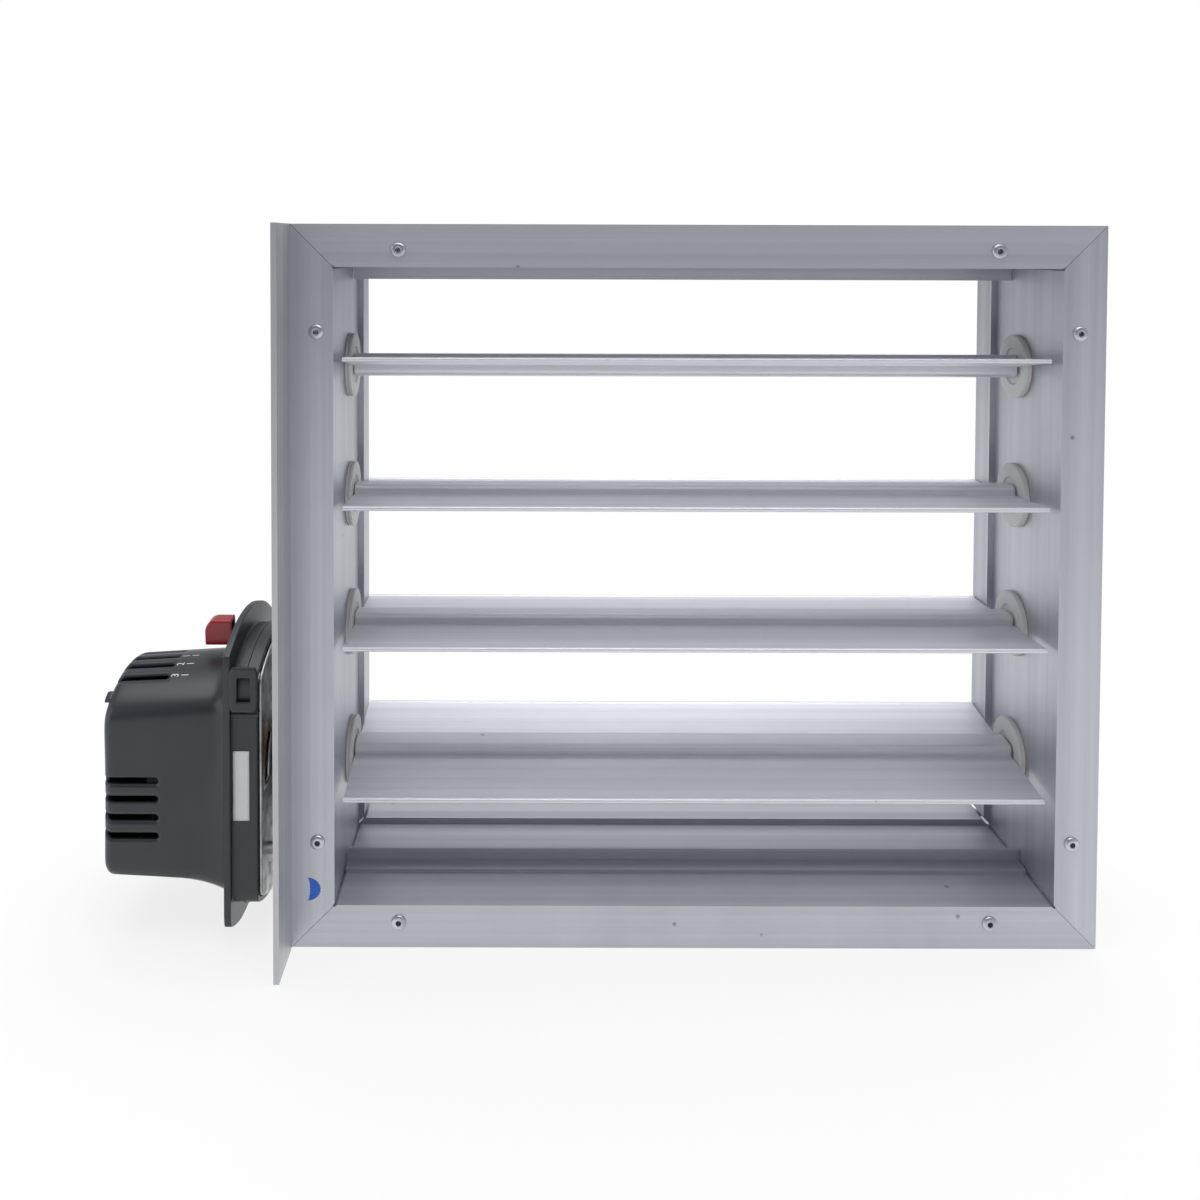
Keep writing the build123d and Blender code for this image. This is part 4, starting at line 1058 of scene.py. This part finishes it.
@dataclass
class Lever:
    """The red position lever: a hollow tab outside the cover on an arm from the shaft."""

    rest: float = 95.0
    half: float = 4.4 * MM
    low: float = 56.5 * MM
    high: float = 69.5 * MM
    left: float = 20.3 * MM
    right: float = 7.3 * MM
    corner: float = 5.5 * MM
    wall: float = 1.6 * MM
    hollow: float = 8.0 * MM
    arm: tuple[float, float] = (9.5 * MM, 6.2 * MM)
    eye: float = 12.0 * MM
    bore: float = 4.55 * MM
    steps: int = 96

    def block(self, rows: np.ndarray) -> Patch:
        """Rounded oblong sections along the cover, each from its own row of sizes.

        A row holds distance out from the root, half width, lowest and highest radius. Round the
        section both coordinates are the quarter power of a cosine and a sine, which gives an
        oblong with rounded corners.
        """
        turn = np.linspace(0, 2 * np.pi, self.steps, endpoint=False)[None, :]
        wide = np.sign(np.cos(turn)) * np.abs(np.cos(turn)) ** 0.25
        tall = np.sign(np.sin(turn)) * np.abs(np.sin(turn)) ** 0.25
        out, half, low, high = (rows[:, k : k + 1] for k in range(4))
        radius = (low + high) / 2 + (high - low) / 2 * tall
        across = half * wide
        angle = math.radians(self.rest)
        axis = middle("bearing_left_1")
        y = axis[1] + radius * math.cos(angle) + across * math.sin(angle)
        z = axis[2] + radius * math.sin(angle) - across * math.cos(angle)
        x = np.broadcast_to(HOUSING.centre()[0] - out, y.shape)
        return Patch(np.stack([x, y, z], -1), False, True)

    def tab(self) -> np.ndarray:
        """Rows of the tab: closed left end with a rounded top, then back into the hollow from the right."""
        turn = np.linspace(0, np.pi / 2, 8)
        out = self.left - self.corner * (1 - np.cos(turn))
        top = self.high - self.corner * (1 - np.sin(turn))
        edge = np.array([0.6, 0.2, 0.06, 0, 0, 0, 0, 0]) * MM
        bend = np.stack([out, self.half - edge, self.low + edge, top], 1)
        mid = (self.low + self.high - self.corner) / 2
        shut = np.array([(self.left, 0, mid, mid), (self.left, self.half * 0.6, mid - 3 * MM, mid + 2 * MM)])
        mouth = np.array([
            (self.right + 0.2 * MM, self.half, self.low, self.high),
            (self.right, self.half - 0.2 * MM, self.low + 0.2 * MM, self.high - 0.2 * MM),
            (self.right, self.half - self.wall, self.low + self.wall, self.high - self.wall),
            (self.right + self.hollow, self.half - self.wall, self.low + self.wall, self.high - self.wall),
            (self.right + self.hollow, 0, mid, mid),
        ])
        return np.concatenate([shut, bend, mouth])

    def build(self, material: bpy.types.Material) -> None:
        """Makes tab, arm and eye as one piece."""
        first, last = self.arm
        half, root, tip = 3.6 * MM, self.bore + 2 * MM, self.low + 1 * MM
        mid = (root + tip) / 2
        stem = np.array([
            (first, 0, mid, mid),
            (first, half, root, tip),
            (last, half, root, tip),
            (last, 0, mid, mid),
        ])
        axis = middle("bearing_left_1")
        centre = np.array([HOUSING.centre()[0] - first, axis[1], axis[2]])
        ring = np.array([(0, self.eye), (first - last, self.eye), (first - last, self.bore), (0, self.bore)])
        patches = [self.block(self.tab()), self.block(stem), turned_surface(ring, centre, ACROSS, UP, 64, True)]
        piece = make_piece("lever_with_tab", patches, material, "drive_blade")
        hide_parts("position_lever")


@dataclass
class Base:
    """The skirt and the tray behind it, one ring moulding with a raised rim and a snap ear."""

    ear_wide: float = 13.3 * MM
    ear_high: float = 20.9 * MM
    ear_rise: float = 48.8 * MM
    ear_thick: float = 1.3 * MM
    window: tuple[float, float] = (6.5 * MM, 11.6 * MM)
    steps: int = 180

    def rows(self) -> np.ndarray:
        """The ring's section: distance behind the root, circle, front line and bottom line, in millimetres."""
        back = (HOUSING.centre()[0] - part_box("actuator_back_plate")[0][0]) / MM
        face = [(0, 47, 30, 45), (0, 60, 33.5, 58), (0, 72.3, 35.8, 70.2)]
        rim = [(-0.9, 72.7, 36.2, 70.6), (-1.2, 73.1, 36.6, 71.0), (-1.2, 73.9, 37.4, 71.8)]
        edge = [(-0.9, 74.4, 37.9, 72.3), (-0.5, 74.5, 38, 72.45), (1.9, 74.5, 38, 72.45), (2.2, 74.2, 37.7, 72.2)]
        foot = [(2.2, 66, 36.6, 66), (2.3, 64.6, 35.9, 64.6), (2.8, 64, 35.5, 64)]
        ridge = [(7.4, 64, 35.5, 64), (7.7, 64.5, 35.5, 64.5), (8.6, 64.5, 35.5, 64.5), (8.9, 64, 35.5, 64)]
        mouth = [(-0.3, 64, 35.5, 64), (0, 63.7, 35.2, 63.7), (0, 61.8, 33.3, 61.8), (-0.3, 61.5, 33, 61.5)]
        mouth = [(step - back, *sizes) for step, *sizes in mouth]
        inside = [(2.4, 61.5, 33, 61.5), (2.2, 61, 32.6, 61), (2.2, 47, 30, 45)]
        return np.array(face + rim + edge + foot + ridge + mouth + inside) * MM

    def build(self, material: bpy.types.Material) -> None:
        """Carries the section round the housing, and sets the ear on the tray's flat front."""
        rows = self.rows()
        phi = np.linspace(-np.pi, np.pi, self.steps, endpoint=False)[None, :]
        radius = d_section(phi, rows[:, 1:2], rows[:, 2:3], rows[:, 3:4], 70.0)
        ring = Patch(HOUSING.place(-rows[:, :1], radius, phi), True, True)
        piece = make_piece("skirt_and_tray", [ring], material)
        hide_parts("actuator_base")
        self.ear(material)

    def ear(self, material: bpy.types.Material) -> None:
        """A flat ear with rounded corners and a window; below it a ledge."""
        centre = HOUSING.centre()
        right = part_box("actuator_back_plate")[0][0] + 0.9 * MM
        across, up = self.window
        wide, high = self.ear_wide / 2, self.ear_high / 2
        sides = [np.linspace(-self.ear_wide, -wide - across / 2, 4), np.linspace(across / 2 - wide, 0, 4)]
        levels = [np.linspace(-high, -up / 2, 5), np.linspace(up / 2, high, 5)]
        column, row = np.meshgrid(np.concatenate(sides), np.concatenate(levels), indexing="ij")
        edge = (np.abs(row) / high) ** 8 * 1.4 * MM
        column = column + edge * (column < -wide) - edge * (column > -wide)
        tray = centre[1] - HOUSING.tray_front
        skin = spread(right + column, tray - self.ear_thick, centre[2] + self.ear_rise + row)
        hole = np.zeros((column.shape[0] - 1, column.shape[1] - 1), bool)
        hole[3, 4] = True
        piece = make_piece("snap_ear", [Patch(skin, False, False, hole)], material, solid=False)
        thicken(piece, self.ear_thick)
        turn = np.linspace(0, np.pi, 7)
        profile = np.stack([-np.sin(turn) * 0.9 * MM, np.cos(turn) * 1.2 * MM], 1)
        x = right + np.linspace(-self.ear_wide, 0, 4)
        z = centre[2] + self.ear_rise - high - 2.2 * MM + profile[:, 1]
        grid = spread(x[None, :], (tray + profile[:, 0])[:, None], z[:, None])
        ledge = make_piece("tray_ledge", [Patch(grid)], material, solid=False)


@dataclass
class InnerParts:
    """The circuit board, the back plate and the label, cut to suit the housing's flat front."""

    board: float = 42.0 * MM
    board_front: float = 28.0 * MM
    plate: float = 61.3 * MM
    plate_front: float = 33.3 * MM
    hub: float = 14.0 * MM
    slot_inner: float = 27.0 * MM
    slot_outer: float = 36.0 * MM
    slot_starts: tuple[float, ...] = (20.0, 140.0, 260.0)
    slot_span: float = 44.0

    def build(self, materials: dict[str, bpy.types.Material]) -> None:
        """Makes the three."""
        self.make_board(materials["board_mask"])
        self.make_plate(materials["zinc_plate"])
        self.make_label(materials["paper_label"])

    def make_board(self, material: bpy.types.Material) -> None:
        """A board with the housing's outline, drawn in from its edge to its middle on both faces."""
        low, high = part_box("circuit_board")
        phi = np.linspace(-np.pi, np.pi, 120, endpoint=False)[None, :]
        edge = d_section(phi, self.board, self.board_front, self.board, 60.0)
        share = np.array([0, 0.4, 0.8, 0.99, 1, 1, 0.99, 0.8, 0.4, 0])[:, None]
        x = np.array([low[0]] * 4 + [low[0] + 0.1 * MM, high[0] - 0.1 * MM] + [high[0]] * 4)[:, None]
        skin = HOUSING.place(HOUSING.centre()[0] - x, edge * share, phi)
        piece = make_piece("shaped_board", [Patch(skin, False, True)], material)
        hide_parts("circuit_board")

    def make_plate(self, material: bpy.types.Material) -> None:
        """A plate from the hub's hole to the tray's outline, with three slots round the shaft.

        Along each direction from the shaft the outline lies where the ray leaves the tray's circle
        or meets its front line, whichever is nearer.
        """
        low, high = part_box("actuator_back_plate")
        axis = middle("bearing_left_1")
        angle = np.radians(np.arange(0, 360, 2.0))[None, :]
        lean = HOUSING.forward * np.cos(angle)
        ring = -lean + np.sqrt(lean**2 - HOUSING.forward**2 + self.plate**2)
        flat = (self.plate_front + HOUSING.forward) / np.clip(-np.cos(angle), 1e-3, None)
        outline = np.minimum(ring, flat)
        share = np.array([0.0, 0.0, 0.0, 0.0, 0.5, 0.93, 1.0])[:, None]
        fixed = np.array([self.hub, 20 * MM, self.slot_inner] + [self.slot_outer] * 4)[:, None]
        radius = fixed + (outline - fixed) * share
        skin = spread(high[0], axis[1] + radius * np.cos(angle), axis[2] + radius * np.sin(angle))
        degrees = np.degrees(angle[0])
        starts = np.array(self.slot_starts)[:, None] - 0.1
        open_at = np.any((degrees >= starts) & (degrees < starts + self.slot_span), axis=0)
        gaps = np.zeros((len(share) - 1, angle.shape[1]), bool)
        gaps[2] = open_at
        patch = Patch(skin[::-1], False, True, gaps[::-1])
        piece = make_piece("slotted_back_plate", [patch], material, solid=False, crease=50.0)
        thicken(piece, high[0] - low[0])
        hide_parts("actuator_back_plate")

    def make_label(self, material: bpy.types.Material) -> None:
        """A thin label on the tray's flat front, its surface bowed a little like stuck paper."""
        centre = HOUSING.centre()
        x = centre[0] + np.linspace(2.9, 10.6, 6) * MM
        z = centre[2] + np.linspace(-14.3, 18.8, 24) * MM
        column, row = np.meshgrid(x, z, indexing="ij")
        bow = 0.05 * MM * np.sin((row - z[0]) / (z[-1] - z[0]) * 9.0)
        y = centre[1] - HOUSING.tray_front - 0.15 * MM - bow
        piece = make_piece("stuck_label", [Patch(np.stack([column, y, row], -1))], material, solid=False)
        thicken(piece, 0.1 * MM)
        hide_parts("rating_label")


# --- actuator details ---------------------------------------------------------------------
@dataclass
class ReturnSpring:
    """The black torsion spring on the hub: two turns, a long leg and a hook on the back plate."""

    wire: float = 1.0 * MM
    radius: float = 14.3 * MM
    turns: float = 2.25
    run: float = 5.4 * MM
    leg: float = 46.0 * MM
    bend: float = 3.0 * MM
    steps: int = 16

    def build(self, material: bpy.types.Material) -> None:
        """Winds the coil round the shaft, runs the leg up from it and turns the hook in."""
        axis = middle("bearing_left_1")
        low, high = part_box("return_spring")
        right = high[0] - self.wire
        turn = np.linspace(-2 * np.pi * self.turns, 0, 150)
        x = right - self.run * turn / turn[0]
        coil = np.stack([x, axis[1] + self.radius * np.cos(turn), axis[2] + self.radius * np.sin(turn)], 1)
        foot = coil[-1]
        rise = np.linspace(0.03, 1, 16)[:, None] * (self.leg - self.bend) * UP
        arc = np.linspace(0, np.pi / 2, 9)[1:, None]
        top = foot + (self.leg - self.bend) * UP
        hook = top + self.bend * (np.sin(arc) * UP - (1 - np.cos(arc)) * ACROSS)
        end = hook[-1] + np.linspace(0.1, 1, 5)[:, None] * (low[0] - hook[-1][0]) * ACROSS
        path = np.concatenate([coil[:1] - 1e-5, coil, foot + rise, hook, end, end[-1:] - 1e-5 * ACROSS])
        piece = make_piece("return_spring_wire", [tube(path, self.wire, self.steps)], material, crease=60.0)
        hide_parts("return_spring")


@dataclass
class DialMarks:
    """Printed numbers 1 to 3, each with its tick, beside the vents on top of the cover."""

    from_end: float = 27.4 * MM
    height: float = 3.6 * MM
    tick_gap: float = 1.2 * MM
    tick: float = 3.6 * MM
    tick_width: float = 0.5 * MM
    lift: float = 0.05 * MM

    def wrap(self, flat: np.ndarray, cover: Cover, offset: float) -> np.ndarray:
        """Lays flat points (distance out from the root, distance round) on the cover's skin.

        A point's angle is the mark's own angle plus its distance round over the skin's radius.
        """
        about = math.asin(offset / cover.circle)
        phi = about + flat[:, 1] / cover.circle
        return HOUSING.place(flat[:, 0], cover.radius(flat[:, 0], phi) + self.lift, phi)

    def digit(self, number: int) -> tuple[np.ndarray, list[list[int]]]:
        """A numeral's flat points and faces, one unit high."""
        curve = bpy.data.curves.new("numeral", "FONT")
        curve.body = str(number)
        curve.size = 1.0
        curve.resolution_u = 4
        holder = bpy.data.objects.new("numeral", curve)
        bpy.context.collection.objects.link(holder)
        mesh = bpy.data.meshes.new_from_object(holder)
        bpy.data.objects.remove(holder)
        points = np.empty(len(mesh.vertices) * 3)
        mesh.vertices.foreach_get("co", points)
        faces = [list(face.vertices) for face in mesh.polygons]
        bpy.data.meshes.remove(mesh)
        return points.reshape(-1, 3)[:, :2] / 0.7, faces

    def build(self, material: bpy.types.Material) -> None:
        """Prints the marks: a numeral's up is towards the cover's end, and its tick is on the other side."""
        cover = Cover()
        start = cover.length - self.from_end
        points, faces = [], []
        for number, offset in zip((1, 2, 3), sorted(cover.top_slots)[-3:]):
            shape, loops = self.digit(number)
            shape = (shape - [(shape[:, 0].min() + shape[:, 0].max()) / 2, 0]) * self.height
            flat = np.stack([start - self.height + shape[:, 1], -shape[:, 0]], 1)
            faces += [[corner + len(points) for corner in loop] for loop in loops]
            points += self.wrap(flat, cover, offset * MM).tolist()
            near = start - self.height - self.tick_gap
            length, width = np.linspace(near, near - self.tick, 4), self.tick_width * np.array([0.5, -0.5])
            grid = np.stack(np.meshgrid(length, width, indexing="ij"), -1)
            faces += (grid_faces(4, 2, False, False) + len(points)).tolist()
            points += self.wrap(grid.reshape(-1, 2), cover, offset * MM).tolist()
        mesh = bpy.data.meshes.new("dial_marks")
        mesh.from_pydata(points, [], faces)
        piece = place_piece("dial_marks", mesh, material, "housing")


@dataclass
class InkStroke:
    """A fitter's blue marker stroke low on the left flange."""

    across: float = 10.3 * MM
    height: float = 27.7 * MM
    reach: float = 5.5 * MM
    width: float = 6.4 * MM
    lift: float = 0.03 * MM

    def build(self, material: bpy.types.Material) -> None:
        """A filled crescent, open to the left, whose edges waver.

        Its outer edge is a half ellipse and its inner edge the same with a third of the bulge;
        each row of points runs evenly from one to the other, and two fine waves move both.
        """
        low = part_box("frame_left")[0]
        turn = np.linspace(-np.pi / 2, np.pi / 2, 64)[None, :]
        share = np.linspace(0, 1, 7)[:, None]
        waver = 0.16 * MM * (np.sin(23 * turn) + np.sin(41 * turn + 3 * share))
        bulge = self.width * (0.22 + 0.78 * share) * np.cos(turn) + waver * np.cos(turn)
        x = low[0] + self.across - self.width / 2 + bulge
        z = self.height + self.reach * np.sin(turn) * np.ones_like(share)
        y = np.full_like(x, low[1] - self.lift)
        piece = make_piece("ink_stroke", [Patch(np.stack([x, y, z], -1))], material, solid=False)


# --- the damper's nodes -------------------------------------------------------------------
FINISH_OF = {
    "frame_top": "rail_across", "frame_bottom": "rail_across",
    "frame_left": "rail_upright", "frame_right": "rail_upright",
    "blade_stop": "rail_across", "side_plate_screws": "zinc_plate", "side_plate": "plate_metal",
    "front_corner": "plate_metal", "rear_corner": "plate_metal",
    "front_rivets": "rivet_metal", "rear_rivets": "rivet_metal",
    "bearing": "nylon", "blade": "blade_metal", "shaft_hub": "bronze", "shaft": "shaft_steel",
    "actuator_base": "dark_base", "actuator_cover": "dark_cover", "position_lever": "red_grip",
    "rating_label": "paper_label", "circuit_board": "board_mask", "terminal_block": "terminal_green",
    "return_spring": "black_wire", "output_gear": "bronze", "motor_pinion": "bronze",
}


def dress(materials: dict[str, bpy.types.Material]) -> None:
    """Gives each CAD node the finish whose key starts its name, and plated steel to the rest."""
    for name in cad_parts:
        keys = [key for key in FINISH_OF if name.startswith(key)]
        finish = FINISH_OF[max(keys, key=len)] if keys else "zinc_plate"
        piece = bpy.data.objects[name]
        for slot in piece.material_slots:
            slot.material = materials[finish]
        LOG.info("%s wears %s", name, finish)


def main() -> None:
    """Builds the scene in order."""
    logging.basicConfig(level=logging.INFO)
    materials = finishes()
    dress(materials)
    BlindRivets().build(materials["rivet_metal"])
    Bearings().build(materials["nylon"])
    PlateScrews().build(materials["zinc_plate"])
    Blades().build(materials["blade_metal"])
    Cover().build(materials["dark_cover"])
    Base().build(materials["dark_base"])
    Lever().build(materials["red_grip"])
    InnerParts().build(materials)
    ReturnSpring().build(materials["black_wire"])
    DialMarks().build(materials["white_print"])
    InkStroke().build(materials["blue_ink"])
    low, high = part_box("frame_bottom")
    Viewpoint().build((low[0] + high[0]) / 2, low[1])
    Studio().build()
    bpy.context.scene.view_settings.view_transform = "Standard"


if __name__ == "__main__":
    main()
